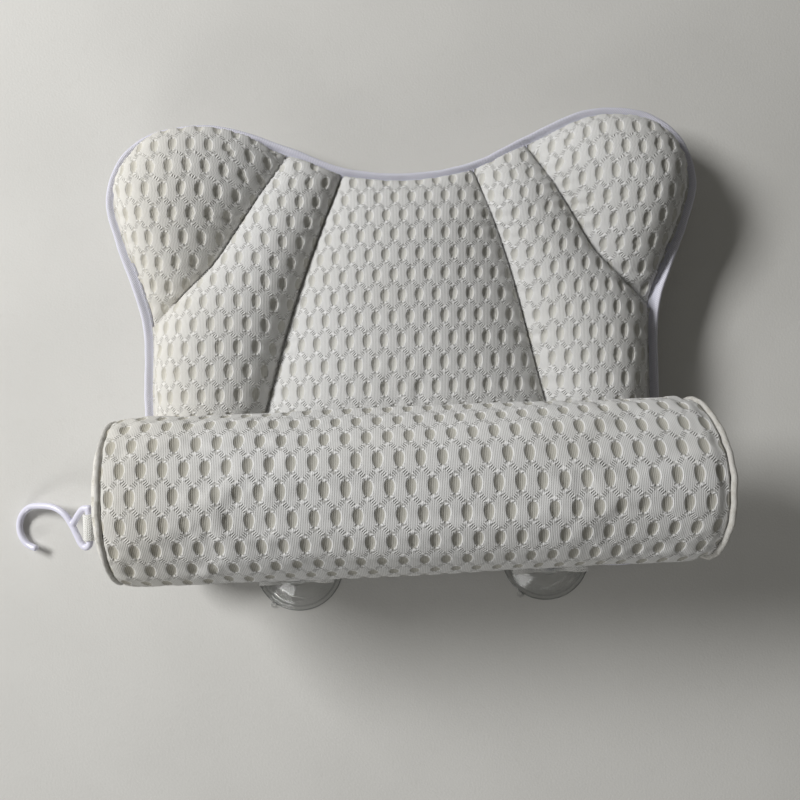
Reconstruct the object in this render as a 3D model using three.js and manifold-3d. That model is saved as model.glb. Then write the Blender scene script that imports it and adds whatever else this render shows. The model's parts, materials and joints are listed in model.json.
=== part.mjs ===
// Bath pillow: a butterfly-shaped quilted air-mesh panel on six suction cups, with a neck roll
// sewn along its base on a folding flap, and a drying hook on a webbing strap.
// Units are millimetres, +Z is up. The pillow lies on its suction cups, wings towards +Y.
import * as THREE from "three";
import { mergeVertices } from "three/addons/utils/BufferGeometryUtils.js";
import Module from "manifold-3d";

const wasm = await Module();
wasm.setup();

// Shared clearance and cutting overrun
const seamGap = 0.3; // sewn pieces lie this far apart
const cutOverrun = 2; // how far a cutter runs past the wall it cuts
const mergeTolerance = 0.001; // points nearer than this are one

// Panel outline
const panelWidth = 374; // wing tip to wing tip
const panelHeight = 290; // base to the top of the wings
const waistWidth = 326; // across the straight sides, under the wings
const notchDepth = 36; // dip of the top edge between the wings
const wingDepth = 128; // top of a wing down to the end of its seam
const baseCornerRadius = 20;
const centreSeamTop = 40; // half distance between the two centre seams at the top edge
const centreSeamBase = 113; // and at the base
const wingSeamTop = 73; // half distance between the wing seams at the top edge

// Panel layers, from the back up
const backCoverHeight = 21; // underside of the back cover above the mounting surface
const backCoverThickness = 2;
const frontCoverThickness = 3; // air mesh
const tapeThickness = 0.8; // folded binding tape
const tapeWidth = 7; // how far the tape reaches in over the covers
const tapeRounding = 1.6; // rounding of the folded edge

// Crown of each quilted chamber over its seams
const wingCrown = 27;
const sideCrown = 28;
const centreCrown = 31;
const chamberLandShare = 0.06; // of a chamber's reach, sewn flat round its mouth

// Suction cups
const cupRadius = 29;
const cupRimWidth = 3.2; // flat sealing lip
const cupLipThickness = 1.2;
const cupDomeHeight = 13.5; // cone, from the surface to the foot of the neck
const cupHollowHeight = 8;
const neckRadius = 4;
const headRadius = 8.7;
const headThickness = 3;
const pullNubRadius = 2;
const lowerCupSpacing = 164;
const lowerCupInset = 2; // axis of a lower cup inside the panel's base edge
const lowerCupOffset = 6; // the lower pair is sewn this far right of the middle
const middleCupInset = 51; // axis of a middle cup inside the panel's side
const middleCupHeight = 118; // above the panel's base
const wingCupInset = 65; // axis of a wing cup inside the wing's tip
const wingCupHeight = 218;

// Webbing tabs that hold the cups
const tabLength = 48;
const tabWidth = 16;
const tabThickness = 1.2;
const tabFlatEnd = 8; // sewn end
const tabRamp = 5;
const neckClearance = 0.35;

// Roll
const rollLength = 320;
const rollRadius = 46.5;
const rollEndRadius = 44.5; // drawn in at the end seams
const rollCoverThickness = 3;
const endDiscThickness = 3;
const endDiscCrown = 3.5; // how far the end discs bulge
const pipingRadius = 2;
const flapReach = 66; // hinge to where the roll is sewn on
const flapThickness = 1.2;
const flapTilt = THREE.MathUtils.degToRad(12);
const flapSideMargin = 14; // flap ends inside the ends of the roll
const hingeBeadRadius = 1.2;
const hingeInset = 5; // hinge line inside the panel's base edge

// Hook and its strap
const strapWidth = 17;
const strapReach = 45; // panel edge to the hook's bar
const strapSewnLength = 14;
const strapThickness = 2.4; // two layers of webbing
const strapLoopWall = 1.2;
const strapHeight = 37; // middle of the strap above the panel's base
const hookRodRadius = 2.2;
const hookThroatRadius = 14; // centre line of the hook's curl
const hookReach = 40.5; // bar to the centre of the curl
const barClearance = 0.35;

// Levels that follow from the layers
const backCoverTop = backCoverHeight + backCoverThickness;
const frontCoverFoot = backCoverTop + seamGap;
const seamLevel = frontCoverFoot + frontCoverThickness;
const tapeFoot = backCoverHeight - seamGap - tapeThickness;
const tapeTop = seamLevel + seamGap + tapeThickness;
const tapeLand = tapeWidth + seamGap; // flat border of the covers under the tape
const coverInset = tapeThickness + seamGap; // cover edge inside the tape's outer edge
const panelBase = 0;
const hingeY = panelBase + hingeInset;
const hingeZ = tapeTop + seamGap + hingeBeadRadius;

// Materials
const meshCloth = new THREE.MeshStandardMaterial({ color: 0xe4e3da, roughness: 0.9 });
const backCloth = new THREE.MeshStandardMaterial({ color: 0xdedcd2, roughness: 0.92 });
const tapeCloth = new THREE.MeshStandardMaterial({ color: 0xeeeef6, roughness: 0.8 });
const webbing = new THREE.MeshStandardMaterial({ color: 0xf1f1ec, roughness: 0.85 });
const foam = new THREE.MeshStandardMaterial({ color: 0xf0e9d2, roughness: 0.95 });
const clearVinyl = new THREE.MeshStandardMaterial({
  color: 0xdfe3e2, roughness: 0.12, transparent: true, opacity: 0.45,
});
const whitePlastic = new THREE.MeshStandardMaterial({ color: 0xf0f0fa, roughness: 0.35 });

// Mesh helpers

// Collects faces and gives a closed geometry whose faces point out.
class Surface {
  constructor() {
    this.corners = [];
  }
  triangle(a, b, c) {
    this.corners.push(a, b, c);
  }
  quad(a, b, c, d) {
    this.triangle(a, b, c);
    this.triangle(a, c, d);
  }
  // Joins two closed rings of equal length.
  band(lower, upper) {
    lower.forEach((point, i) => {
      const next = (i + 1) % lower.length;
      this.quad(point, lower[next], upper[next], upper[i]);
    });
  }
  // Closes a ring to one point.
  fan(ring, tip) {
    ring.forEach((point, i) => this.triangle(point, ring[(i + 1) % ring.length], tip));
  }
  geometry() {
    const made = new THREE.BufferGeometry().setFromPoints(this.corners);
    return facingOut(mergeVertices(made, mergeTolerance));
  }
}

function signedVolume(geometry) {
  const position = geometry.getAttribute("position");
  const index = geometry.index.array;
  const [a, b, c] = [new THREE.Vector3(), new THREE.Vector3(), new THREE.Vector3()];
  let sum = 0;
  for (let i = 0; i < index.length; i += 3) {
    a.fromBufferAttribute(position, index[i]);
    b.fromBufferAttribute(position, index[i + 1]);
    c.fromBufferAttribute(position, index[i + 2]);
    sum += a.dot(b.cross(c));
  }
  return sum;
}

function facingOut(geometry) {
  if (signedVolume(geometry) < 0) {
    const index = geometry.index.array;
    for (let i = 0; i < index.length; i += 3) {
      [index[i + 1], index[i + 2]] = [index[i + 2], index[i + 1]];
    }
  }
  geometry.computeVertexNormals();
  return geometry;
}

function solid(geometry) {
  const bare = geometry.clone();
  bare.deleteAttribute("normal");
  bare.deleteAttribute("uv");
  const merged = mergeVertices(bare, mergeTolerance);
  return new wasm.Manifold(
    new wasm.Mesh({
      numProp: 3,
      vertProperties: merged.getAttribute("position").array,
      triVerts: new Uint32Array(merged.index.array),
    }),
  );
}

function geometryOf(manifold) {
  const { vertProperties, triVerts } = manifold.getMesh();
  const made = new THREE.BufferGeometry();
  made.setAttribute("position", new THREE.BufferAttribute(vertProperties, 3));
  made.setIndex(new THREE.BufferAttribute(triVerts, 1));
  made.computeVertexNormals();
  return made;
}

function mesh(name, geometry, material) {
  const made = new THREE.Mesh(geometry, material);
  made.name = name;
  return made;
}

// A profile of [radius, height] points, turned round +Z.
function turned(profile, segments) {
  const points = profile.map(([radius, height]) => new THREE.Vector2(radius, height));
  const made = new THREE.LatheGeometry(points, segments).rotateX(Math.PI / 2);
  made.deleteAttribute("normal");
  made.deleteAttribute("uv");
  return facingOut(mergeVertices(made, mergeTolerance));
}

// A profile in the [y, z] plane, drawn out along X about the middle.
function drawnAlongX(profile, length) {
  const shape = new THREE.Shape(profile.map(([y, z]) => new THREE.Vector2(y, z)));
  const made = new THREE.ExtrudeGeometry(shape, { depth: length, bevelEnabled: false });
  // the shape's x and y become Y and Z, and the depth becomes X
  made.applyMatrix4(new THREE.Matrix4().set(0, 0, 1, -length / 2, 1, 0, 0, 0, 0, 1, 0, 0, 0, 0, 0, 1));
  return made;
}

// Panel outline

const halfPanel = panelWidth / 2;
const halfWaist = waistWidth / 2;
const wingFlare = halfPanel - halfWaist;

// Knots of the right half, from the middle of the top edge clockwise to the middle of the base.
// Top edge: [share of half the width, share of the notch's depth below the wing top].
const topEdgeShares = [[0.6, 0.05], [0.72, 0]];
// Wing: [share of the half width], then [share of the flare], with the share of the wing's depth.
const wingCapShares = [[0.85, 0.04], [0.95, 0.16]];
const wingSideShares = [[1, 0.375], [0.78, 0.58], [0.36, 0.79]];
const topSeamDips = { centre: 0.86, wing: 0.47 }; // shares of the notch's depth at the seams
const cornerShare = 1 - Math.SQRT1_2;
const wingSeamEndFlareShare = 0.03;
const sideKnotShares = [0.33, 0.72]; // of the height from the wing seam's end to the corner

function rightOutline() {
  const top = panelBase + panelHeight;
  const knots = [];
  const add = (x, y) => knots.push(new THREE.Vector3(x, y, 0)) - 1;
  add(0, top - notchDepth);
  const centreTop = add(centreSeamTop, top - notchDepth * topSeamDips.centre);
  const wingTop = add(wingSeamTop, top - notchDepth * topSeamDips.wing);
  topEdgeShares.forEach(([across, dip]) => add(halfPanel * across, top - notchDepth * dip));
  wingCapShares.forEach(([across, drop]) => add(halfPanel * across, top - wingDepth * drop));
  wingSideShares.forEach(([flare, drop]) => add(halfWaist + wingFlare * flare, top - wingDepth * drop));
  const wingEnd = add(halfWaist + wingFlare * wingSeamEndFlareShare, top - wingDepth);
  const cornerTop = panelBase + baseCornerRadius;
  const sideHeight = top - wingDepth - cornerTop;
  sideKnotShares.forEach((share) => add(halfWaist, top - wingDepth - sideHeight * share));
  add(halfWaist, cornerTop);
  add(halfWaist - baseCornerRadius * cornerShare, panelBase + baseCornerRadius * cornerShare);
  add(halfWaist - baseCornerRadius, panelBase);
  const centreBase = add(centreSeamBase, panelBase);
  add(centreSeamBase / 2, panelBase);
  add(0, panelBase);
  return { knots, centreTop, wingTop, wingEnd, centreBase };
}

const half = rightOutline();
const halfCount = half.knots.length - 1;
const stepsPerKnot = 2;
const outlineCount = halfCount * 2 * stepsPerKnot;

// Points of the whole outline, clockwise from the middle of the top edge, with outward normals.
const outline = (() => {
  const mirrored = half.knots.slice(1, -1).reverse().map((p) => new THREE.Vector3(-p.x, p.y, 0));
  const curve = new THREE.CatmullRomCurve3([...half.knots, ...mirrored], true, "centripetal");
  return Array.from({ length: outlineCount }, (_, i) => {
    const share = i / outlineCount;
    const tangent = curve.getTangent(share);
    return { point: curve.getPoint(share), normal: new THREE.Vector3(-tangent.y, tangent.x, 0).normalize() };
  });
})();

// The outline moved out by a distance, at one level.
const outlineAt = (distance, level) =>
  outline.map(({ point, normal }) => point.clone().addScaledVector(normal, distance).setZ(level));

const coverOutline = outlineAt(-coverInset, 0);
const mouthOutline = outlineAt(-tapeLand, 0);
const indexOf = (knot) => knot * stepsPerKnot;
const mirrorIndex = (index) => (outlineCount - index) % outlineCount;

// Quilted chambers

const seamSteps = 7;
// Places along the seams as shares of their own width and height; both bow a little.
const wingSeamBowShares = [[0.17, 0.2], [0.35, 0.42], [0.54, 0.65], [0.76, 0.82]];
const centreSeamBowShares = [[0.33, 0.27], [0.64, 0.6]];

function seamCurve(from, to, bowShares) {
  const middle = bowShares.map(([across, down]) =>
    new THREE.Vector3(from.x + (to.x - from.x) * across, from.y + (to.y - from.y) * down, 0));
  const curve = new THREE.CatmullRomCurve3([from, ...middle, to], false, "centripetal");
  return curve.getPoints(seamSteps).slice(1, -1);
}

const at = (index) => mouthOutline[index];
const mark = {
  centreTop: indexOf(half.centreTop),
  wingTop: indexOf(half.wingTop),
  wingEnd: indexOf(half.wingEnd),
  centreBase: indexOf(half.centreBase),
};
const rightWingSeam = seamCurve(at(mark.wingTop), at(mark.wingEnd), wingSeamBowShares);
const rightCentreSeam = seamCurve(at(mark.centreTop), at(mark.centreBase), centreSeamBowShares);
const mirror = (points) => points.map((p) => new THREE.Vector3(-p.x, p.y, p.z));
const edge = (from, to) => mouthOutline.slice(from, to + 1);
const reversed = (points) => [...points].reverse();

const rightWingLoop = [...edge(mark.wingTop, mark.wingEnd), ...reversed(rightWingSeam)];
const rightSideLoop = [
  ...edge(mark.centreTop, mark.wingTop), ...rightWingSeam,
  ...edge(mark.wingEnd, mark.centreBase), ...reversed(rightCentreSeam),
];
const topEdgeLeft = mouthOutline.slice(mirrorIndex(mark.centreTop));
const baseEdge = mouthOutline.slice(mark.centreBase, mirrorIndex(mark.centreBase) + 1);
const centreLoop = [
  ...topEdgeLeft, ...edge(0, mark.centreTop), ...rightCentreSeam,
  ...baseEdge, ...reversed(mirror(rightCentreSeam)),
];

// Where each chamber is highest: [share of half the width, share of the height].
const wingSummitShares = [0.72, 0.8];
const sideSummitShares = [0.62, 0.42];
const centreSummitShares = [0, 0.47];
const summit = ([across, up], side) =>
  new THREE.Vector3(halfPanel * across * side, panelBase + panelHeight * up, 0);

const leftWingLoop = reversed(mirror(rightWingLoop));
const leftSideLoop = reversed(mirror(rightSideLoop));
const chambers = [
  { name: "left_wing", loop: leftWingLoop, top: summit(wingSummitShares, -1), crown: wingCrown },
  { name: "left_side", loop: leftSideLoop, top: summit(sideSummitShares, -1), crown: sideCrown },
  { name: "centre", loop: centreLoop, top: summit(centreSummitShares, 1), crown: centreCrown },
  { name: "right_side", loop: rightSideLoop, top: summit(sideSummitShares, 1), crown: sideCrown },
  { name: "right_wing", loop: rightWingLoop, top: summit(wingSummitShares, 1), crown: wingCrown },
];

// Shares of the way from a chamber's summit to its seam where its rings lie, and the fall of its crown.
const ringShares = [0.9, 0.7, 0.46, 0.22];
const fallPower = 2;
const fallRounding = 0.75;
const crownAt = (share) => (1 - share ** fallPower) ** fallRounding;

// The flap and the roll press the chambers down to this height.
const flapUnderside = (y) =>
  hingeZ + (y - hingeY) * Math.tan(flapTilt) - (flapThickness / 2 + seamGap) / Math.cos(flapTilt);
const pressed = (y, z) => Math.max(seamLevel, Math.min(z, flapUnderside(y)));

function ringOf(chamber, share, levelOf) {
  return chamber.loop.map((point) => {
    const p = chamber.top.clone().lerp(point, share);
    return p.setZ(levelOf(p.y));
  });
}

const outerLevel = (chamber, share) => (y) => pressed(y, seamLevel + chamber.crown * crownAt(share));
const innerLevel = (chamber, share) => (y) => outerLevel(chamber, share)(y) - frontCoverThickness;
const mouthShare = 1 - chamberLandShare;
const innerShare = (share) => share * mouthShare;

function frontCover() {
  const surface = new Surface();
  for (const chamber of chambers) {
    const flat = (level) => () => level;
    const outside = [
      ringOf(chamber, 1, flat(seamLevel)),
      ...ringShares.map((share) => ringOf(chamber, share, outerLevel(chamber, share))),
    ];
    const inside = [
      ringOf(chamber, 1, flat(frontCoverFoot)),
      ringOf(chamber, mouthShare, flat(frontCoverFoot)),
      ...ringShares.map((share) => ringOf(chamber, innerShare(share), innerLevel(chamber, share))),
    ];
    outside.slice(1).forEach((ring, i) => surface.band(reversed(outside[i]), reversed(ring)));
    inside.slice(1).forEach((ring, i) => surface.band(inside[i], ring));
    const tip = chamber.top.clone().setZ(outerLevel(chamber, 0)(chamber.top.y));
    surface.fan(reversed(outside.at(-1)), tip);
    surface.fan(inside.at(-1), tip.clone().setZ(tip.z - frontCoverThickness));
  }
  const border = [
    outlineAt(-tapeLand, seamLevel), outlineAt(-coverInset, seamLevel),
    outlineAt(-coverInset, frontCoverFoot), outlineAt(-tapeLand, frontCoverFoot),
  ];
  border.slice(1).forEach((ring, i) => surface.band(border[i], ring));
  return mesh("front_cover", surface.geometry(), meshCloth);
}

// A pad fills this share of the reach of its chamber's inside.
const padShare = 0.97;

function chamberPad(chamber) {
  const surface = new Surface();
  const foot = ringOf(chamber, mouthShare * padShare, () => frontCoverFoot);
  const rings = ringShares.map((share) =>
    ringOf(chamber, innerShare(share) * padShare, (y) => innerLevel(chamber, share)(y) - seamGap));
  rings.forEach((ring, i) => surface.band(i === 0 ? foot : rings[i - 1], ring));
  const tipLevel = innerLevel(chamber, 0)(chamber.top.y) - seamGap;
  surface.fan(rings.at(-1), chamber.top.clone().setZ(tipLevel));
  surface.fan(reversed(foot), chamber.top.clone().setZ(frontCoverFoot));
  return mesh(`${chamber.name}_pad`, surface.geometry(), foam);
}

function backCover() {
  const shape = new THREE.Shape(coverOutline.map((p) => new THREE.Vector2(p.x, p.y)));
  const sheet = new THREE.ExtrudeGeometry(shape, { depth: backCoverThickness, bevelEnabled: false });
  return mesh("back_cover", sheet.translate(0, 0, backCoverHeight), backCloth);
}

// Binding tape, folded round the edges of both covers
function edgeBinding() {
  const fold = [
    [-tapeWidth, tapeFoot], [-tapeRounding, tapeFoot], [0, tapeFoot + tapeRounding],
    [0, tapeTop - tapeRounding], [-tapeRounding, tapeTop], [-tapeWidth, tapeTop],
    [-tapeWidth, tapeTop - tapeThickness], [-tapeThickness, tapeTop - tapeThickness],
    [-tapeThickness, tapeFoot + tapeThickness], [-tapeWidth, tapeFoot + tapeThickness],
  ];
  const surface = new Surface();
  const rings = fold.map(([distance, level]) => outlineAt(distance, level));
  rings.forEach((ring, i) => surface.band(ring, rings[(i + 1) % rings.length]));
  return mesh("edge_binding", surface.geometry(), tapeCloth);
}

// Suction cups and their tabs

const cupSegments = 24;
const nubSegments = 8;
const boreSegments = 16;
const headSeat = cupDomeHeight + tabThickness + 2 * seamGap; // underside of the head
const headTop = headSeat + headThickness;
const tabPlateTop = headSeat - seamGap;
const headBevel = headThickness / 3;
// The cone's outside and inside as [share of the radius, share of the height]
const cupDomeShares = [[0.338, 0.84], [0.75, 0.42]];
const cupHollowShares = [[0.6, 0.7]];
const scaled = (shares, radius, height) => shares.map(([across, up]) => [across * radius, up * height]);

function suctionCup() {
  const innerRim = cupRadius - cupRimWidth;
  const body = turned([
    [0, headTop], [headRadius - headBevel, headTop], [headRadius, headTop - headBevel],
    [headRadius, headSeat + headBevel], [neckRadius, headSeat], [neckRadius, cupDomeHeight],
    ...scaled(cupDomeShares, cupRadius, cupDomeHeight), [cupRadius, cupLipThickness], [cupRadius, 0],
    [innerRim, 0], ...scaled(cupHollowShares, innerRim, cupHollowHeight), [0, cupHollowHeight],
  ], cupSegments);
  const nub = new THREE.CylinderGeometry(pullNubRadius, pullNubRadius, cupLipThickness, nubSegments);
  nub.rotateX(Math.PI / 2).translate(0, -cupRadius - pullNubRadius / 2, cupLipThickness / 2);
  return geometryOf(solid(body).add(solid(nub)));
}

// A strip sewn at both ends, whose middle stands off the cover with a buttonhole for the cup's neck
function cupTab(seatLevel) {
  const half = tabLength / 2;
  const rampFoot = half - tabFlatEnd - tabRamp;
  const sewnTop = seatLevel - seamGap;
  const right = [[rampFoot, tabPlateTop], [rampFoot + tabRamp, sewnTop], [half, sewnTop]];
  const topLine = [...reversed(right.map(([x, z]) => [-x, z])), ...right];
  const under = reversed(topLine.map(([x, z]) => [x, z - tabThickness]));
  const strip = drawnAlongX([...topLine, ...under], tabWidth).rotateZ(Math.PI / 2);
  const boreRadius = neckRadius + neckClearance;
  const boreLength = tabThickness + 2 * cutOverrun;
  const bore = new THREE.CylinderGeometry(boreRadius, boreRadius, boreLength, boreSegments);
  bore.rotateX(Math.PI / 2).translate(0, 0, tabPlateTop - tabThickness / 2);
  return geometryOf(solid(strip).subtract(solid(bore)));
}

const lowerCupTurn = THREE.MathUtils.degToRad(36); // where a lower cup's pull nub points
const onTape = { seat: tapeFoot, turn: lowerCupTurn, offset: lowerCupOffset };
const onBack = { seat: backCoverHeight, turn: 0, offset: 0 };
const cupPairs = [
  { name: "lower", out: lowerCupSpacing / 2, up: lowerCupInset, ...onTape },
  { name: "middle", out: halfWaist - middleCupInset, up: middleCupHeight, ...onBack },
  { name: "wing", out: halfPanel - wingCupInset, up: wingCupHeight, ...onBack },
];

function cupsAndTabs() {
  const made = new THREE.Group();
  for (const { name, out, offset, up, seat, turn } of cupPairs) {
    for (const [side, sign] of [["left", -1], ["right", 1]]) {
      const cup = mesh(`${side}_${name}_cup`, suctionCup(), clearVinyl);
      cup.position.set(offset + sign * out, panelBase + up, 0);
      cup.rotation.z = -turn;
      const tab = mesh(`${side}_${name}_cup_tab`, cupTab(seat), webbing);
      tab.position.copy(cup.position);
      made.add(cup, tab);
    }
  }
  return made;
}

// Neck roll, built in the flap's own frame: the hinge line is the origin and the flap runs along +Y

const rollSegments = 36;
const pipingSides = 6;
const beadSides = 8;
const halfRoll = rollLength / 2;
const rollAxisHeight = rollRadius + seamGap + flapThickness / 2;

// Turned round the roll's own axis, which lies along X
const rollTurned = (profile) =>
  turned(profile, rollSegments).rotateY(Math.PI / 2).translate(0, flapReach, rollAxisHeight);

// Outside of the roll as [radius, distance along the axis], full in the middle and drawn in at the seams
const rollBulgeShares = [
  [-1, 0], [-0.975, 0.62], [-0.9, 0.86], [-0.5, 1], [0.5, 1], [0.9, 0.86], [0.975, 0.62], [1, 0],
];
const rollSide = (wall) => rollBulgeShares.map(([along, fullness]) =>
  [rollEndRadius + (rollRadius - rollEndRadius) * fullness - wall, halfRoll * along]);

function rollCover() {
  const outside = rollSide(0);
  const inside = reversed(rollSide(rollCoverThickness));
  return mesh("roll_cover", rollTurned([...outside, ...inside, outside[0]]), meshCloth);
}

function rollCore() {
  const side = rollSide(rollCoverThickness + seamGap);
  const profile = [[0, -halfRoll], ...side, [0, halfRoll]];
  return mesh("roll_foam_core", rollTurned(profile), foam);
}

const discRadius = rollEndRadius - pipingRadius - seamGap;
const discRimShare = 0.7; // of the disc's thickness, at its rim
const discShoulderShares = [0.75, 0.6]; // of the disc's radius, and of its crown

function rollEndDisc(name, side) {
  const foot = halfRoll + seamGap;
  const rim = foot + endDiscThickness * discRimShare;
  const [shoulder, rise] = discShoulderShares;
  const profile = [
    [0, foot], [discRadius, foot], [discRadius, rim],
    [discRadius * shoulder, rim + endDiscCrown * rise], [0, rim + endDiscCrown],
  ];
  return mesh(name, rollTurned(profile.map(([radius, along]) => [radius, along * side])), meshCloth);
}

function rollPiping(name, side) {
  const centre = [rollEndRadius, (halfRoll + seamGap + pipingRadius) * side];
  const section = Array.from({ length: pipingSides + 1 }, (_, i) => {
    const angle = ((i % pipingSides) / pipingSides) * Math.PI * 2;
    return [centre[0] + pipingRadius * Math.cos(angle), centre[1] + pipingRadius * Math.sin(angle)];
  });
  return mesh(name, rollTurned(section), tapeCloth);
}

function rollFlap() {
  // from the top of the strip round the back of the hinge line to its underside
  const [start, end] = [Math.PI / 4, (Math.PI * 7) / 4];
  const bead = Array.from({ length: beadSides }, (_, i) => {
    const angle = THREE.MathUtils.lerp(start, end, i / (beadSides - 1));
    return [hingeBeadRadius * Math.cos(angle), hingeBeadRadius * Math.sin(angle)];
  });
  const strip = [[flapReach, -flapThickness / 2], [flapReach, flapThickness / 2]];
  const length = rollLength - 2 * flapSideMargin;
  return mesh("roll_flap", drawnAlongX([...bead, ...strip], length), backCloth);
}

function neckRoll() {
  const made = new THREE.Group();
  made.add(
    rollCover(), rollCore(), rollFlap(),
    rollEndDisc("left_roll_end", -1), rollEndDisc("right_roll_end", 1),
    rollPiping("left_roll_piping", -1), rollPiping("right_roll_piping", 1),
  );
  made.position.set(0, hingeY, hingeZ);
  made.rotation.x = flapTilt;
  return made;
}

// Hook and strap

const strapTop = tapeFoot - seamGap;
const strapEyeRadius = hookRodRadius + barClearance;
const strapEyeHeight = strapTop - strapThickness / 2;
const barX = -halfWaist - strapReach;
const strapY = panelBase + strapHeight;

// Two layers of webbing sewn together, whose far end goes round the hook's bar
function hookStrap() {
  const loopRadius = strapEyeRadius + strapLoopWall;
  const length = strapReach + strapSewnLength;
  const band = new THREE.BoxGeometry(length, strapWidth, strapThickness);
  band.translate(length / 2, 0, 0);
  const barrel = (radius, width) => new THREE.CylinderGeometry(radius, radius, width, boreSegments);
  const eye = barrel(loopRadius, strapWidth);
  const bore = barrel(strapEyeRadius, strapWidth + 2 * cutOverrun);
  const made = mesh("hook_strap", geometryOf(solid(band).add(solid(eye)).subtract(solid(bore))), webbing);
  made.position.set(barX, strapY, strapEyeHeight);
  return made;
}

// The hook's rod as [share of the reach, share of the throat's radius] from the middle of the bar:
// down the bar, round the lower corner and up past the joint to the curl.
const hookRodShares = [
  [0, 0.87], [0, 0.5], [0, 0], [0, -0.5], [0, -0.7], [-0.02, -0.84], [-0.08, -0.93],
  [-0.16, -0.78], [-0.24, -0.36], [-0.32, 0.07], [-0.46, 0.6], [-0.66, 0.92],
];
const hookArmShares = [[0, 0.87], [-0.1, 0.85], [-0.19, 0.6], [-0.32, 0.07]];
const curlStart = THREE.MathUtils.degToRad(85);
const curlEnd = THREE.MathUtils.degToRad(260);
const curlKnots = 8;
const rodSteps = 44;
const armSteps = 5;
const rodArcSegments = 4; // per half turn of the rod's section

// The hook lies with the bar in the strap's eye and the curl on the surface that the pillow stands on.
function dryingHook() {
  const placed = (shares) =>
    shares.map(([along, across]) => new THREE.Vector3(hookReach * along, hookThroatRadius * across, 0));
  const curl = Array.from({ length: curlKnots }, (_, i) => {
    const angle = THREE.MathUtils.lerp(curlStart, curlEnd, i / (curlKnots - 1));
    return new THREE.Vector3(Math.cos(angle), Math.sin(angle), 0)
      .multiplyScalar(hookThroatRadius).add(new THREE.Vector3(-hookReach, 0, 0));
  });
  const rod = (points, steps) => {
    const extrudePath = new THREE.CatmullRomCurve3(points, false, "centripetal");
    const section = new THREE.Shape().absarc(0, 0, hookRodRadius, 0, Math.PI * 2);
    return new THREE.ExtrudeGeometry(section, { steps, extrudePath, curveSegments: rodArcSegments });
  };
  const main = solid(rod([...placed(hookRodShares), ...curl], rodSteps));
  const arm = solid(rod(placed(hookArmShares), armSteps));
  const made = mesh("drying_hook", geometryOf(main.add(arm)), whitePlastic);
  made.position.set(barX, strapY, strapEyeHeight);
  const drop = strapEyeHeight - hookRodRadius - seamGap;
  made.rotation.y = -Math.asin(drop / (hookReach + hookThroatRadius));
  return made;
}

// The whole pillow, with its origin at the middle of its box on the surface it stands on
const pillow = new THREE.Group();
pillow.add(frontCover(), backCover(), edgeBinding(), ...chambers.map(chamberPad));
pillow.add(cupsAndTabs(), neckRoll(), hookStrap(), dryingHook());

pillow.updateMatrixWorld(true);
const box = new THREE.Box3().setFromObject(pillow, true);
const middle = box.getCenter(new THREE.Vector3());
pillow.position.set(-middle.x, -middle.y, -box.min.z);

export default pillow;
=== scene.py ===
"""Dresses the bath pillow: quilted air-mesh panel, neck roll, binding, foam, clear cups and drying hook.

Shapes are worked out in millimetres in the panel's own frame, whose origin lies at the middle of the
panel's base edge on the surface that the pillow stands on, and are placed in the row frame in metres.
"""

import json
import logging
import math
from dataclasses import dataclass, field
from enum import Enum
from itertools import pairwise

import bmesh
import bpy
import numpy as np
from mathutils import Euler, Matrix, Vector

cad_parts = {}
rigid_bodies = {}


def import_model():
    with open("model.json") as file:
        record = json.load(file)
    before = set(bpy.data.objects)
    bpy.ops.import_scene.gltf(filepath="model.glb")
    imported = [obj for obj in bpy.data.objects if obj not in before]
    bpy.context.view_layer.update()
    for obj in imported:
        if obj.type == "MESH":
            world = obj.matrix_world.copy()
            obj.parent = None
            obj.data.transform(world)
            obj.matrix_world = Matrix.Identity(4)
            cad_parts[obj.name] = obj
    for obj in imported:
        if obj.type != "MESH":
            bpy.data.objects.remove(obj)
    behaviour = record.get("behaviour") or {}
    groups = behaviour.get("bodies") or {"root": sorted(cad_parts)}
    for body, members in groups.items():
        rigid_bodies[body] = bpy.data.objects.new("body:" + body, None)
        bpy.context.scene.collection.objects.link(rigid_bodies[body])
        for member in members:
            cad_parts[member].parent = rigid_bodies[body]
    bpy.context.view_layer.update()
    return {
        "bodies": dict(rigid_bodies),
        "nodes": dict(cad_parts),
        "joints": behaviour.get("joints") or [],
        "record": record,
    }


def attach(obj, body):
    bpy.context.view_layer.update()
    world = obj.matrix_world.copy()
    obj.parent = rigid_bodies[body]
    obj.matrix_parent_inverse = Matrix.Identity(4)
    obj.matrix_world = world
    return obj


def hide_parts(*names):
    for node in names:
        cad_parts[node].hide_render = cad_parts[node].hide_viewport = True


log = logging.getLogger("bath_pillow")

MM = 0.001
Array = np.ndarray
Place = tuple[float, float]
Faces = list[tuple[int, ...]]
Piece = bpy.types.Object
Finish = bpy.types.Material
Socket = bpy.types.NodeSocket


class Body(Enum):
    """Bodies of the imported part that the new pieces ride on."""

    PANEL = "panel"
    ROLL = "roll"
    HOOK = "hook"


class Slot(Enum):
    """Material slots of the record."""

    AIR_MESH = "air_mesh"
    BACK_CLOTH = "back_cloth"
    TAPE = "binding_tape"
    WEBBING = "webbing"
    FOAM = "foam"
    VINYL = "clear_vinyl"
    PLASTIC = "white_plastic"


class Side(Enum):
    """Left or right half of the pillow, seen from above with the wings up."""

    LEFT = -1
    RIGHT = 1

    @property
    def word(self) -> str:
        """Name of the side as the part's nodes write it."""
        return self.name.lower()


def smoothstep(low: float, high: float, value: Array) -> Array:
    """Smooth rise from 0 at low to 1 at high.

    Args:
        low: Value where the rise starts.
        high: Value where it ends.
        value: Values to look up.

    Returns:
        Share of the rise at each value.
    """
    t = np.clip((value - low) / (high - low), 0.0, 1.0)
    return t * t * (3 - 2 * t)


def wrapped(value: Array, period: float) -> Array:
    """Value brought to half a period either side of zero."""
    return value - period * np.round(value / period)


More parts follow.
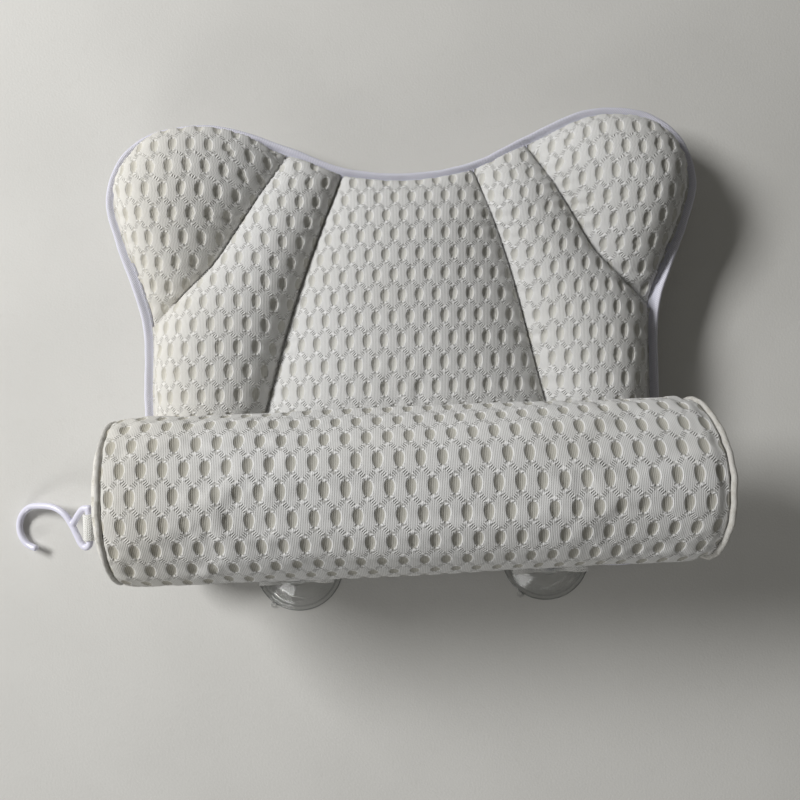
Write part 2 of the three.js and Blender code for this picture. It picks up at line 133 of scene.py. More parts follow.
def smooth_curve(knots: Array, steps: int, closed: bool) -> Array:
    """Points of a centripetal curve through knots.

    Args:
        knots: Points that the curve passes through.
        steps: Steps between two knots.
        closed: Whether the curve comes back to its first knot.

    Returns:
        Points along the curve; an open curve keeps its last knot.
    """
    k = np.asarray(knots, float)
    if closed:
        p0, p1, p2, p3 = np.roll(k, 1, 0), k, np.roll(k, -1, 0), np.roll(k, -2, 0)
    else:
        e = np.vstack([2 * k[0] - k[1], k, 2 * k[-1] - k[-2]])
        p0, p1, p2, p3 = e[:-3], e[1:-2], e[2:-1], e[3:]
    pairs = (p0, p1), (p1, p2), (p2, p3)
    t0, t1, t2 = (np.sqrt(np.linalg.norm(b - a, axis=1))[:, None] for a, b in pairs)
    m1 = ((p1 - p0) / t0 - (p2 - p0) / (t0 + t1) + (p2 - p1) / t1) * t1
    m2 = ((p2 - p1) / t1 - (p3 - p1) / (t1 + t2) + (p3 - p2) / t2) * t1
    t = (np.arange(steps) / steps)[:, None, None]
    c2, c3 = -3 * p1 + 3 * p2 - 2 * m1 - m2, 2 * p1 - 2 * p2 + m1 + m2
    made = (p1 + m1 * t + c2 * t**2 + c3 * t**3).transpose(1, 0, 2).reshape(-1, k.shape[1])
    return made if closed else np.vstack([made, k[-1]])


def unit(vectors: Array) -> Array:
    """Each vector brought to a length of 1."""
    return vectors / np.linalg.norm(vectors, axis=1, keepdims=True)


def nearest(points: Array, line: Array, closed: bool) -> tuple[Array, Array]:
    """Nearest places on a line of straight pieces.

    Args:
        points: Points in the plane.
        line: Corners of the line.
        closed: Whether the line comes back to its start.

    Returns:
        Distance of each point and its nearest place on the line.
    """
    start, end = (line, np.roll(line, -1, 0)) if closed else (line[:-1], line[1:])
    along = end - start
    square = np.maximum((along**2).sum(1), 1e-9)
    distance, foot = np.empty(len(points)), np.empty((len(points), 2))
    size = max(1, int(2e6 / len(start)))
    for i in range(0, len(points), size):
        p = points[i : i + size, None, :]
        t = np.clip(((p - start) * along).sum(2) / square, 0, 1)
        f = start + t[..., None] * along
        d = ((p - f) ** 2).sum(2)
        best = d.argmin(1)
        rows = np.arange(len(best))
        distance[i : i + size], foot[i : i + size] = np.sqrt(d[rows, best]), f[rows, best]
    return distance, foot


def inside(points: Array, loop: Array) -> Array:
    """Whether each point lies inside a closed loop."""
    x, y = points[:, 0], points[:, 1]
    hit = np.zeros(len(points), bool)
    for (ax, ay), (bx, by) in zip(loop, np.roll(loop, -1, 0)):
        if ay != by:
            hit ^= ((ay > y) != (by > y)) & (x < (bx - ax) * (y - ay) / (by - ay) + ax)
    return hit


def waves(share: Array, seed: int, low: int, high: int) -> Array:
    """Irregular waves that meet at both ends, between about -1 and 1.

    Args:
        share: Places along the way, from 0 to 1.
        seed: Seed of the waves.
        low: Fewest waves on the way.
        high: Most waves on the way.

    Returns:
        Height of the waves at each place.
    """
    random = np.random.default_rng(seed)
    counts = np.arange(low, high + 1)
    size, phase = random.normal(size=len(counts)), random.uniform(0, 2 * np.pi, len(counts))
    made = (size * np.sin(2 * np.pi * share[..., None] * counts + phase)).sum(-1)
    return made / (1.8 * np.sqrt(len(counts)))


def sampled(grid: Array, row: Array, column: Array) -> Array:
    """Smooth values of a coarse grid between its points.

    Args:
        grid: Values at whole rows and columns.
        row: Rows to look up, as fractions.
        column: Columns to look up, as fractions.

    Returns:
        Value at each row and column, from the sixteen points around it.
    """

    def weights(t: Array) -> tuple[Array, ...]:
        """Weights of the four points round a place between the middle two."""
        return (
            -0.5 * t + t**2 - 0.5 * t**3,
            1 - 2.5 * t**2 + 1.5 * t**3,
            0.5 * t + 2 * t**2 - 1.5 * t**3,
            -0.5 * t**2 + 0.5 * t**3,
        )

    r, c = np.floor(row).astype(int), np.floor(column).astype(int)
    total = 0.0
    for i, a in enumerate(weights(row - r)):
        for j, b in enumerate(weights(column - c)):
            rr = np.clip(r + i - 1, 0, grid.shape[0] - 1)
            cc = np.clip(c + j - 1, 0, grid.shape[1] - 1)
            total = total + a[:, None] * b * grid[np.ix_(rr, cc)]
    return total


# Shader trees


class Signal:
    """A value in a node tree, which sums and comparisons can be written with."""

    def __init__(self, graph: "Graph", socket: Socket) -> None:
        """Keeps a socket and the tree it is in."""
        self.graph, self.socket = graph, socket

    def _join(
        self, operation: str, other: "Signal | float | None" = None, third: float | None = None
    ) -> "Signal":
        """Adds a Math node to the tree.

        Args:
            operation: Operation of the node.
            other: Second value.
            third: Third value.

        Returns:
            Result of the node.
        """
        node = self.graph.tree.nodes.new("ShaderNodeMath")
        node.operation = operation
        self.graph.tree.links.new(self.socket, node.inputs[0])
        for value, target in ((other, node.inputs[1]), (third, node.inputs[2])):
            if isinstance(value, Signal):
                self.graph.tree.links.new(value.socket, target)
            elif value is not None:
                target.default_value = value
        return Signal(self.graph, node.outputs[0])

    def __add__(self, other: "Signal | float") -> "Signal":
        """Sum."""
        return self._join("ADD", other)

    def __sub__(self, other: "Signal | float") -> "Signal":
        """Difference."""
        return self._join("SUBTRACT", other)

    def __mul__(self, other: "Signal | float") -> "Signal":
        """Product."""
        return self._join("MULTIPLY", other)

    def __truediv__(self, other: "Signal | float") -> "Signal":
        """Quotient."""
        return self._join("DIVIDE", other)

    def abs(self) -> "Signal":
        """Size without its sign."""
        return self._join("ABSOLUTE")

    def sine(self) -> "Signal":
        """Sine."""
        return self._join("SINE")

    def cosine(self) -> "Signal":
        """Cosine."""
        return self._join("COSINE")

    def wave(self, length: float) -> "Signal":
        """Sine that comes round once in a length."""
        return (self * (math.tau / length)).sine()

    def rounded(self) -> "Signal":
        """Nearest whole number."""
        return self._join("ROUND")

    def wrapped(self, period: float) -> "Signal":
        """Brought to half a period either side of zero."""
        return self._join("WRAP", period / 2, -period / 2)

    def rise(self, low: float, high: float) -> "Signal":
        """Smooth rise from 0 at low to 1 at high, or a fall where low is the larger.

        Args:
            low: Value that gives 0.
            high: Value that gives 1.

        Returns:
            Share of the rise.
        """
        node = self.graph.tree.nodes.new("ShaderNodeMapRange")
        node.interpolation_type = "SMOOTHSTEP"
        self.graph.tree.links.new(self.socket, node.inputs["Value"])
        start, end, first, last = (low, high, 0.0, 1.0) if low < high else (high, low, 1.0, 0.0)
        node.inputs["From Min"].default_value, node.inputs["From Max"].default_value = start, end
        node.inputs["To Min"].default_value, node.inputs["To Max"].default_value = first, last
        return Signal(self.graph, node.outputs["Result"])


Colour = tuple[float, float, float]


def linear(colour: Colour) -> tuple[float, float, float, float]:
    """A colour written from 0 to 255 as a screen shows it, for a shader."""
    share = [c / 255 for c in colour]
    return (*(s / 12.92 if s <= 0.04045 else ((s + 0.055) / 1.055) ** 2.4 for s in share), 1.0)


class Graph:
    """A material's node tree while it is being built."""

    def __init__(self, name: str, roughness: float) -> None:
        """Starts a material with one Principled shader.

        Args:
            name: Name of the material.
            roughness: Roughness of the whole surface.
        """
        self.material = bpy.data.materials.new(name)
        self.material.use_nodes = True
        self.tree = self.material.node_tree
        self.shader = self.tree.nodes["Principled BSDF"]
        self.shader.inputs["Roughness"].default_value = roughness

    def _coordinates(self) -> Socket:
        """Object coordinates."""
        return self.tree.nodes.new("ShaderNodeTexCoord").outputs["Object"]

    def weave(self) -> tuple[Signal, Signal]:
        """Place on the cloth in millimetres, along the weft and down the warp, from the piece's own map."""
        node = self.tree.nodes.new("ShaderNodeUVMap")
        node.uv_map = "weave"
        return self._split(node.outputs["UV"], 1 / MM)[:2]

    def place(self) -> list[Signal]:
        """Place in millimetres in the row frame."""
        return self._split(self._coordinates(), 1 / MM)

    def _split(self, vector: Socket, scale: float) -> list[Signal]:
        """Scaled parts of a vector."""
        node = self.tree.nodes.new("ShaderNodeSeparateXYZ")
        self.tree.links.new(vector, node.inputs[0])
        return [Signal(self, node.outputs[i]) * scale for i in range(3)]

    def _texture(self, kind: str, size: float) -> bpy.types.Node:
        """A new texture on Object coordinates, with patches of some size in millimetres."""
        node = self.tree.nodes.new(kind)
        self.tree.links.new(self._coordinates(), node.inputs["Vector"])
        node.inputs["Scale"].default_value = 1 / (size * MM)
        return node

    def noise(self, size: float, detail: float = 2.0) -> Signal:
        """Soft noise, from 0 to 1.

        Args:
            size: Size of its patches in millimetres.
            detail: How many finer layers it has.

        Returns:
            Value of the noise.
        """
        node = self._texture("ShaderNodeTexNoise", size)
        node.inputs["Detail"].default_value = detail
        return Signal(self, node.outputs["Fac"])

    def pores(self, size: float) -> Signal:
        """Distance from the middle of the nearest pore, about 0 to 1, for pores of some size."""
        return Signal(self, self._texture("ShaderNodeTexVoronoi", size).outputs["Distance"])

    def bump(self, height: Signal) -> None:
        """Raises the surface by a height in millimetres."""
        node = self.tree.nodes.new("ShaderNodeBump")
        node.inputs["Strength"].default_value = 1.0
        node.inputs["Distance"].default_value = MM
        self.tree.links.new(height.socket, node.inputs["Height"])
        self.tree.links.new(node.outputs["Normal"], self.shader.inputs["Normal"])

    def rough(self, value: Signal) -> None:
        """Lets the roughness vary."""
        self.tree.links.new(value.socket, self.shader.inputs["Roughness"])

    def sheen(self, weight: float) -> None:
        """Gives the fibres' soft shine at grazing angles."""
        self.shader.inputs["Sheen Weight"].default_value = weight
        self.shader.inputs["Sheen Roughness"].default_value = 0.5


class Tint:
    """A colour in a node tree that goes from one to another by a share, with more laid over it."""

    def __init__(self, graph: Graph, share: Signal, first: Colour, second: Colour) -> None:
        """Mixes two colours by a share."""
        self.graph = graph
        self.socket = self._mix(share, linear(first), linear(second))

    def _mix(self, share: Signal, first: object, second: object) -> Socket:
        """Output of a Mix node between colours or sockets."""
        node = self.graph.tree.nodes.new("ShaderNodeMix")
        node.data_type = "RGBA"
        self.graph.tree.links.new(share.socket, node.inputs["Factor"])
        for value, target in ((first, node.inputs[6]), (second, node.inputs[7])):
            if isinstance(value, Socket):
                self.graph.tree.links.new(value, target)
            else:
                target.default_value = value
        return node.outputs[2]

    def over(self, share: Signal, colour: Colour) -> "Tint":
        """Lays another colour over this one by a share."""
        self.socket = self._mix(share, self.socket, linear(colour))
        return self

    def paint(self) -> None:
        """Gives the colour to the shader."""
        self.graph.tree.links.new(self.socket, self.graph.shader.inputs["Base Color"])


# Finishes


@dataclass(frozen=True)
class AirMesh:
    """Spacer cloth: rows of sunken ovals, each with a bright cord beside it, and ladder stitches between.

    The warp runs down the cloth, and each row of ovals is half a pitch aside of the last. The cords are
    painted brighter on the ovals' right sides, a painted highlight, and each hollow is painted darker,
    partly as painted shade of the recess and most towards its upper left.
    """

    name: str = "air_mesh_cloth"
    pitch: float = 10.4
    row: float = 13.6
    oval_half_width: float = 2.45
    oval_half_height: float = 4.2
    taper: float = 0.16
    depth: float = 1.05
    puff: float = 0.1
    ladder_reach: float = 2.3
    ladder_half_width: float = 2.3
    stroke: float = 1.7
    cloth: Colour = (220, 220, 219)
    # Colour of the oval floors: partly their own see-through knit, partly painted shade of the recess.
    hollow: Colour = (210, 209, 203)
    cord: Colour = (246, 246, 246)
    contrast: float = 0.32
    # Strength of the painted shade at each hollow's upper left.
    shade: float = 0.34

    def oval(self, u: Array, v: Array) -> Array:
        """Measure from the middle of the nearest oval, 1 at its rim.

        Args:
            u: Places along the weft in millimetres.
            v: Places down the warp in millimetres.

        Returns:
            0 at the middle of an oval, and above 1 outside it.
        """
        line = np.round(v / self.row)
        down = (v - line * self.row) / self.oval_half_height
        across = wrapped(u + line * self.pitch / 2, self.pitch)
        width = self.oval_half_width * (1 - self.taper * np.clip(down, -1.2, 1.2))
        return (across / width) ** 2 + down**2

    def relief(self, u: Array, v: Array) -> Array:
        """Height of the cloth in millimetres, sunk in the ovals and puffed up a little between the ladders.

        Args:
            u: Places along the weft in millimetres.
            v: Places down the warp in millimetres.

        Returns:
            Height over the flat cloth.
        """
        sunk = smoothstep(0.0, 0.8, 1.12 - self.oval(u, v))
        turn = v / self.row - 0.5
        line = np.round(turn)
        across = u + line * self.pitch / 2
        zigzag = -self.ladder_reach * np.cos(2 * np.pi * across / self.pitch)
        away = np.abs((turn - line) * self.row - zigzag)
        return self.puff * smoothstep(0.3, 3.0, away) * (1 - sunk) - self.depth * sunk

    def material(self) -> Finish:
        """Makes the cloth's material."""
        graph = Graph(self.name, 0.92)
        u, v = graph.weave()
        turn = v / self.row
        line = turn.rounded()
        down = (turn - line) * (self.row / self.oval_half_height)
        across = (u + line * (self.pitch / 2)).wrapped(self.pitch)
        width = (down * -self.taper + 1.0) * self.oval_half_width
        oval = (across / width) * (across / width) + down * down
        floor = oval.rise(1.08, 0.7)
        outside = floor * -1.0 + 1.0
        cord = oval.rise(1.02, 1.14) * oval.rise(1.58, 1.34)
        # The cord is kept to each oval's sides and weighted brighter on its right side, which faces the
        # lamp: a painted highlight over the cord's own white.
        right_lit_flank = across.abs().rise(0.8, 2.2) * (across.rise(-1.0, 1.0) * 0.55 + 0.45)
        between = (turn - 0.5).rounded()
        upper = u + between * (self.pitch / 2)
        turned = upper * (math.tau / self.pitch)
        zigzag = turned.cosine() * -self.ladder_reach
        height = (turn - 0.5 - between) * self.row
        reach = self.ladder_half_width
        ladder = (height - zigzag).abs().rise(reach, reach * 0.6) * outside
        rungs = (upper + height * turned.sine() * 1.2).wave(self.stroke)
        ribs = u.wave(0.9)
        knit = v.wave(0.8) * ribs
        # The oval floors take the hollow colour, which is partly painted shade of the recess.
        tint = Tint(graph, floor, self.cloth, self.hollow)
        tint.over(knit.rise(-0.2, -1.0) * outside * 0.2, (190, 189, 183))
        tint.over(ladder * rungs.rise(0.1, -0.6) * self.contrast, (150, 149, 142))
        tint.over(ladder * rungs.rise(0.0, 0.6) * (self.contrast + 0.3), self.cord)
        tint.over(ribs.rise(0.0, 1.0) * floor * 0.25, (178, 176, 167))
        # Painted shade: each hollow's floor is darkened towards its upper left, where its rim shades it from
        # the lamp.
        tint.over((across + down * 1.2).rise(1.3, -2.3) * floor * self.shade, (134, 132, 126))
        # Painted highlight: the cord tint is strongest on each oval's right side.
        tint.over(cord * right_lit_flank * (self.contrast - 0.04), self.cord)
        tint.over(graph.noise(38.0).rise(0.35, 0.8) * 0.14, (205, 202, 192))
        tint.over(graph.place()[0].rise(-45.0, -130.0) * 0.2, (226, 215, 187))
        tint.paint()
        relief = cord * right_lit_flank * 0.09 + ladder * rungs * 0.26 + ribs * 0.05 + knit * 0.05
        graph.bump(relief + oval.rise(1.3, 0.6) * -0.25 + graph.noise(0.7) * 0.1)
        graph.sheen(0.1)
        return graph.material


@dataclass(frozen=True)
class BackKnit:
    """Plain knitted cloth of the back cover and the flap, with small diamonds."""

    pitch: float = 2.6
    cloth: Colour = (226, 224, 216)

    def material(self) -> Finish:
        """Makes the knit's material."""
        graph = Graph("back_knit", 0.94)
        x, y, _ = graph.place()
        loops = (x + y).wave(self.pitch) * (x - y).wave(self.pitch)
        ribs = x.wave(0.8)
        Tint(graph, loops.rise(-0.9, -0.2), (186, 182, 170), self.cloth).over(
            graph.noise(30.0).rise(0.4, 0.8) * 0.12, (203, 198, 184)
        ).paint()
        graph.bump(loops * 0.16 + ribs * 0.05 + graph.noise(0.6) * 0.1)
        graph.sheen(0.1)
        return graph.material


@dataclass(frozen=True)
class BindingTape:
    """Woven polyester tape with fine slanting ribs, a little blue; its inner band beside the cloth is
    painted darker, as painted shade.
    """

    colour: Colour = (234, 234, 247)
    worn: Colour = (216, 215, 227)
    # Darker colour of the inner band beside the cloth: painted shade.
    flat: Colour = (208, 209, 223)

    def material(self) -> Finish:
        """Makes the tape's material."""
        graph = Graph("woven_tape", 0.78)
        along, across = graph.weave()
        ribs = (along + across * 0.6).wave(1.15)
        cross = (along - across * 0.6).wave(1.15)
        # The inner band beside the cloth takes the darker colour, as painted shade.
        Tint(graph, ribs.rise(-0.9, 0.3), self.worn, self.colour).over(
            graph.noise(14.0).rise(0.45, 0.8) * 0.35, self.worn
        ).over(across.rise(4.2, 3.0) * 0.6, self.flat).paint()
        graph.bump(ribs * 0.1 + cross * 0.06 + graph.noise(3.0) * 0.25)
        graph.sheen(0.2)
        return graph.material


@dataclass(frozen=True)
class PipingCloth:
    """Thin knit drawn round the pipings' cords, creased across, with painted shade darkening the creases."""

    colour: Colour = (207, 205, 200)
    # Colour of the painted shade in the creases.
    crease: Colour = (180, 176, 165)

    def material(self) -> Finish:
        """Makes the cloth's material."""
        graph = Graph("piping_cloth", 0.9)
        along, across = graph.weave()
        crease = graph.noise(3.4, 1.0)
        ribs = (along * 0.8 + across).wave(0.8)
        # Painted shade: the cloth is darkened where the crease bump is lowest.
        Tint(graph, crease.rise(0.52, 0.3) * 0.5, self.colour, self.crease).over(
            ribs.rise(0.2, 1.0) * 0.25, (208, 206, 198)
        ).paint()
        graph.bump(crease * 0.7 + ribs * 0.07 + graph.noise(1.2) * 0.15)
        graph.sheen(0.1)
        return graph.material


@dataclass(frozen=True)
class Webbing:
    """Narrow woven band with a herringbone of thick yarns."""

    colour: Colour = (250, 250, 246)
    gap: Colour = (222, 221, 214)

    def material(self) -> Finish:
        """Makes the webbing's material."""
        graph = Graph("narrow_webbing", 0.86)
        x, y, _ = graph.place()
        yarn = (x.wrapped(4.4).abs() + y).wave(1.5)
        warp = (x * (math.tau / 1.1)).cosine()
        Tint(graph, yarn.rise(-1.0, -0.2), self.gap, self.colour).over(
            graph.noise(9.0).rise(0.5, 0.8) * 0.2, self.gap
        ).paint()
        graph.bump(yarn * 0.14 + warp * 0.08 + graph.noise(0.5) * 0.08)
        graph.sheen(0.15)
        return graph.material


@dataclass(frozen=True)
class SewingThread:
    """Twisted white thread."""

    colour: Colour = (240, 240, 244)

    def material(self) -> Finish:
        """Makes the thread's material."""
        graph = Graph("sewing_thread", 0.6)
        x, y, z = graph.place()
        twist = (x + y + z).wave(0.45)
        Tint(graph, twist.rise(-1.0, 0.4), (198, 198, 204), self.colour).paint()
        graph.bump(twist * 0.05)
        graph.sheen(0.2)
        return graph.material


@dataclass(frozen=True)
class OpenFoam:
    """Cut open-cell foam, cream with small pores."""

    colour: Colour = (240, 233, 210)

    def material(self) -> Finish:
        """Makes the foam's material."""
        graph = Graph("open_cell_foam", 0.97)
        cell = graph.pores(1.6)
        fine = graph.pores(0.6)
        Tint(graph, cell.rise(0.05, 0.5), (188, 176, 143), self.colour).over(
            graph.noise(25.0).rise(0.4, 0.8) * 0.3, (226, 214, 181)
        ).paint()
        graph.bump(cell * 0.6 + fine * 0.25)
        return graph.material


@dataclass(frozen=True)
class ClearVinyl:
    """Soft clear plastic of the cups, faintly grey, with painted shade rings at its thick lip standing in
    for light bent through it, and with handling haze.
    """

    roughness: float = 0.07
    # Colour of the painted shade rings at the lip.
    lip: Colour = (84, 88, 90)

    def material(self) -> Finish:
        """Makes the vinyl's material."""
        graph = Graph("clear_soft_vinyl", self.roughness)
        graph.shader.inputs["Transmission Weight"].default_value = 1.0
        graph.shader.inputs["IOR"].default_value = 1.46
        graph.shader.inputs["Alpha"].default_value = 0.5
        out, _ = graph.weave()
        # Painted shade rings on the lip and just inside it, standing in for light bent through the thick
        # plastic.
        lip = out.rise(27.9, 28.5) * out.rise(29.8, 29.2)
        lip += out.rise(25.0, 25.5) * out.rise(26.6, 26.1) * 0.6
        Tint(graph, graph.noise(12.0).rise(0.3, 0.8), (252, 253, 253), (244, 247, 247)).over(
            lip * 0.8, self.lip
        ).paint()
        graph.rough(graph.noise(7.0, 4.0) * 0.12 + self.roughness * 0.4)
        graph.bump(graph.noise(5.0) * 0.08)
        return graph.material


@dataclass(frozen=True)
class MouldedPlastic:
    """Glossy white moulded plastic of the hook, a little blue, with faint flow marks."""

    colour: Colour = (228, 227, 242)

    def material(self) -> Finish:
        """Makes the plastic's material."""
        graph = Graph("moulded_white_plastic", 0.32)
        Tint(graph, graph.noise(11.0, 3.0).rise(0.35, 0.75), self.colour, (220, 219, 236)).paint()
        graph.rough(graph.noise(4.0, 4.0) * 0.2 + 0.24)
        graph.bump(graph.noise(2.2, 3.0) * 0.05)
        graph.shader.inputs["Coat Weight"].default_value = 0.15
        return graph.material


@dataclass(frozen=True)
class TableTop:
    """Pale matt surface that the pillow lies on."""

    colour: Colour = (222, 221, 217)

    def material(self) -> Finish:
        """Makes the table's material."""
        graph = Graph("pale_table_top", 0.8)
        Tint(graph, graph.noise(90.0, 3.0).rise(0.3, 0.7), self.colour, (218, 217, 213)).over(
            graph.noise(7.0, 3.0).rise(0.55, 0.75) * 0.12, (206, 204, 198)
        ).paint()
        graph.bump(graph.noise(1.5, 3.0) * 0.12)
        return graph.material


class Wardrobe:
    """Makes each finish once and hands it out with its slot."""

    def __init__(self) -> None:
        """Makes the materials."""
        self.air_mesh = AirMesh()
        # The roll's oval floors are painted darker than the panel's, partly as painted shade of their
        # recesses.
        self.roll_mesh = AirMesh(
            "roll_air_mesh_cloth", pitch=11.1, row=math.tau * 46.5 / 20, oval_half_width=2.65,
            oval_half_height=4.7, depth=0.85, ladder_reach=2.5, ladder_half_width=2.4, stroke=1.75,
            hollow=(182, 180, 171), contrast=0.46,
        )
        self.made = {
            Slot.AIR_MESH: self.air_mesh.material(),
            Slot.BACK_CLOTH: BackKnit().material(),
            Slot.TAPE: BindingTape().material(),
            Slot.WEBBING: Webbing().material(),
            Slot.FOAM: OpenFoam().material(),
            Slot.VINYL: ClearVinyl().material(),
            Slot.PLASTIC: MouldedPlastic().material(),
        }
        self.thread = SewingThread().material()
        self.stretched = self.roll_mesh.material()
        self.piping = PipingCloth().material()
        self.table = TableTop().material()

    def dress(
        self, piece: Piece, slot: Slot, body: str, nodes: tuple[str, ...] = (), finish: Finish | None = None
    ) -> Piece:
        """Gives a piece its finish, its body and the CAD nodes it stands for.

        Args:
            piece: Finished piece.
            slot: Slot of the record that its finish belongs to.
            body: Body that it rides on.
            nodes: CAD nodes that it replaces.
            finish: Its material where it isn't the slot's main one, such as sewing thread.

        Returns:
            The piece.
        """
        piece.data.materials.clear()
        piece.data.materials.append(finish or self.made[slot])
        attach(piece, body)
        if nodes:
            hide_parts(*nodes)
        log.info("%s: %d faces, rides on %s", piece.name, len(piece.data.polygons), body)
        return piece


# Mesh building


@dataclass
class Cloth:
    """Points, faces and cloth places of a sewn piece while it is put together."""

    points: list[Array] = field(default_factory=list)
    faces: Faces = field(default_factory=list)
    places: list[Array] = field(default_factory=list)
    count: int = 0

    def add(self, points: Array, faces: Array | Faces, places: Array | None = None) -> int:
        """Adds a patch.

        Args:
            points: Points of the patch in millimetres.
            faces: Faces that count from the patch's own first point.
            places: Places on the cloth in millimetres, for the weave.

        Returns:
            Number of the patch's first point in the piece.
        """
        first = self.count
        self.points.append(points)
        self.places.append(points[:, :2] if places is None else places)
        self.faces += [tuple(int(i) + first for i in face) for face in faces]
        self.count += len(points)
        return first

    def sew(self, name: str, origin: Vector) -> Piece:
        """Makes the object, smooth and with its faces pointing out.

        Args:
            name: Name of the piece.
            origin: Panel's own origin in the row frame, in metres.

        Returns:
            Object at the row frame's origin with its place in its mesh.
        """
        points = np.vstack(self.points) * MM + np.array(origin)
        mesh = bpy.data.meshes.new(name)
        mesh.from_pydata(points.tolist(), [], self.faces)
        mesh.update()
        edited = bmesh.new()
        edited.from_mesh(mesh)
        bmesh.ops.recalc_face_normals(edited, faces=edited.faces)
        edited.to_mesh(mesh)
        edited.free()
        mesh.polygons.foreach_set("use_smooth", np.ones(len(mesh.polygons), bool))
        corner = np.empty(len(mesh.loops), np.int32)
        mesh.loops.foreach_get("vertex_index", corner)
        layer = mesh.uv_layers.new(name="weave")
        places = np.vstack(self.places)[corner] * MM
        layer.data.foreach_set("uv", places.astype(np.float32).ravel())
        made = bpy.data.objects.new(name, mesh)
        bpy.context.scene.collection.objects.link(made)
        return made


def tube(rings: int, sides: int) -> tuple[Array, Array]:
    """Quads between rings of points.

    Args:
        rings: Count of rings.
        sides: Points of a ring, the last beside the first.

    Returns:
        Numbers of the points, ring by ring, and the quads.
    """
    number = np.arange(rings * sides).reshape(rings, sides)
    after = np.roll(number, -1, 1)
    return number, np.stack([number[:-1], number[1:], after[1:], after[:-1]], -1).reshape(-1, 4)


def capped(number: Array, quads: Array) -> Faces:
    """Faces of a tube with both its ends closed, from its numbers and quads."""
    return [*map(tuple, quads.tolist()), tuple(number[0].tolist()), tuple(number[-1, ::-1].tolist())]


def rim_loops(quads: Array) -> list[list[int]]:
    """Open edges of a patch of quads, as closed loops that run the way its faces do.

    Args:
        quads: Quads of the patch.

    Returns:
        Loops of point numbers.
    """
    edges = np.vstack([quads[:, [i, (i + 1) % 4]] for i in range(4)])
    own = {(int(a), int(b)) for a, b in edges}
    after: dict[int, list[int]] = {}
    for a, b in own:
        if (b, a) not in own:
            after.setdefault(a, []).append(b)
    loops = []
    while after:
        start = min(after)
        loop, here = [start], after[start].pop()
        while here != start:
            loop.append(here)
            ways = after[here]
            step = ways.pop()
            if not ways:
                del after[here]
            here = step
        if not after[start]:
            del after[start]
        loops.append(loop)
    return loops


def patch(kept: Array) -> tuple[Array, Array, list[int]]:
    """Patch of a grid's quads whose four corners are all kept.

    Args:
        kept: Which grid points are kept, as rows and columns.

    Returns:
        Grid numbers of its points, then its quads and its longest rim in the patch's own numbers.
    """
    number = np.arange(kept.size).reshape(kept.shape)
    cell = kept[:-1, :-1] & kept[:-1, 1:] & kept[1:, :-1] & kept[1:, 1:]
    quads = np.stack([number[:-1, :-1], number[:-1, 1:], number[1:, 1:], number[1:, :-1]], -1)[cell]
    used, own = np.unique(quads, return_inverse=True)
    quads = own.reshape(-1, 4)
    return used, quads, max(rim_loops(quads), key=len)


def joined(first: list[int], second: list[int]) -> Faces:
    """Quads between two loops of the same count that run side by side."""
    return list(zip(first, first[1:] + first[:1], second[1:] + second[:1], second))


def zip_loops(first: list[int], second: list[int], places: Array) -> Faces:
    """Triangles between two loops that run side by side the same way, of any counts.

    Args:
        first: Point numbers of one loop.
        second: Point numbers of the other.
        places: Places of all the points.

    Returns:
        Triangles that close the gap.
    """
    start = int(np.linalg.norm(places[second] - places[first[0]], axis=1).argmin())
    second = second[start:] + second[:start]

    def shares(loop: list[int]) -> Array:
        """Share of the way round at each point of a loop."""
        ring = places[loop + loop[:1]]
        length = np.linalg.norm(np.diff(ring, axis=0), axis=1).cumsum()
        return np.concatenate([[0], length / length[-1]])

    a, b, i, j = shares(first), shares(second), 0, 0
    made: Faces = []
    while i < len(first) or j < len(second):
        here, there = first[i % len(first)], second[j % len(second)]
        if j == len(second) or (i < len(first) and a[i + 1] <= b[j + 1]):
            made.append((here, first[(i + 1) % len(first)], there))
            i += 1
        else:
            made.append((here, second[(j + 1) % len(second)], there))
            j += 1
    return made


@dataclass(frozen=True)
class Press:
    """Blows a coarse copy of a piece up as cloth between its sewn lines.

    The cap is the furthest that a point may move, in millimetres. The growth is the share by which the
    cloth is larger than its shape, so that it puckers.
    """

    cap: float
    pressure: float = 3.0
    growth: float = 0.0
    frames: int = 16

    def moved(self, name: str, points: Array, quads: Array, held: Array) -> Array:
        """Simulates the cloth and applies the result.

        Args:
            name: Name for the copy while it lasts.
            points: Points in millimetres.
            quads: Faces of the cloth.
            held: Which points are sewn down.

        Returns:
            How far each point moved, in millimetres, none further than the cap.
        """
        mesh = bpy.data.meshes.new(name)
        mesh.from_pydata((points * MM).tolist(), [], quads.tolist())
        copy = bpy.data.objects.new(name, mesh)
        bpy.context.scene.collection.objects.link(copy)
        sewn = copy.vertex_groups.new(name="sewn")
        sewn.add(np.flatnonzero(held).tolist(), 1.0, "REPLACE")
        alone(copy)
        modifier = copy.modifiers.new("Cloth", "CLOTH")
        settings = modifier.settings
        settings.quality = 6
        settings.mass = 0.15
        settings.tension_stiffness = settings.compression_stiffness = 12.0
        settings.shear_stiffness = 4.0
        settings.bending_stiffness = 1.2
        settings.use_pressure = True
        settings.uniform_pressure_force = self.pressure
        settings.vertex_group_mass = "sewn"
        settings.shrink_min = -self.growth
        settings.effector_weights.gravity = 0.0
        modifier.collision_settings.use_self_collision = False
        modifier.point_cache.frame_start, modifier.point_cache.frame_end = 1, self.frames
        for frame in range(1, self.frames + 1):
            bpy.context.scene.frame_set(frame)
        bpy.ops.object.modifier_apply(modifier=modifier.name)
        after = np.empty(len(points) * 3, np.float32)
        copy.data.vertices.foreach_get("co", after)
        bpy.data.objects.remove(copy)
        bpy.context.scene.frame_set(1)
        step = after.reshape(-1, 3) / MM - points
        length = np.linalg.norm(step, axis=1, keepdims=True)
        return step * np.minimum(1, self.cap / np.maximum(length, 1e-6))


def deselect() -> None:
    """Deselects everything."""
    bpy.ops.object.select_all(action="DESELECT")


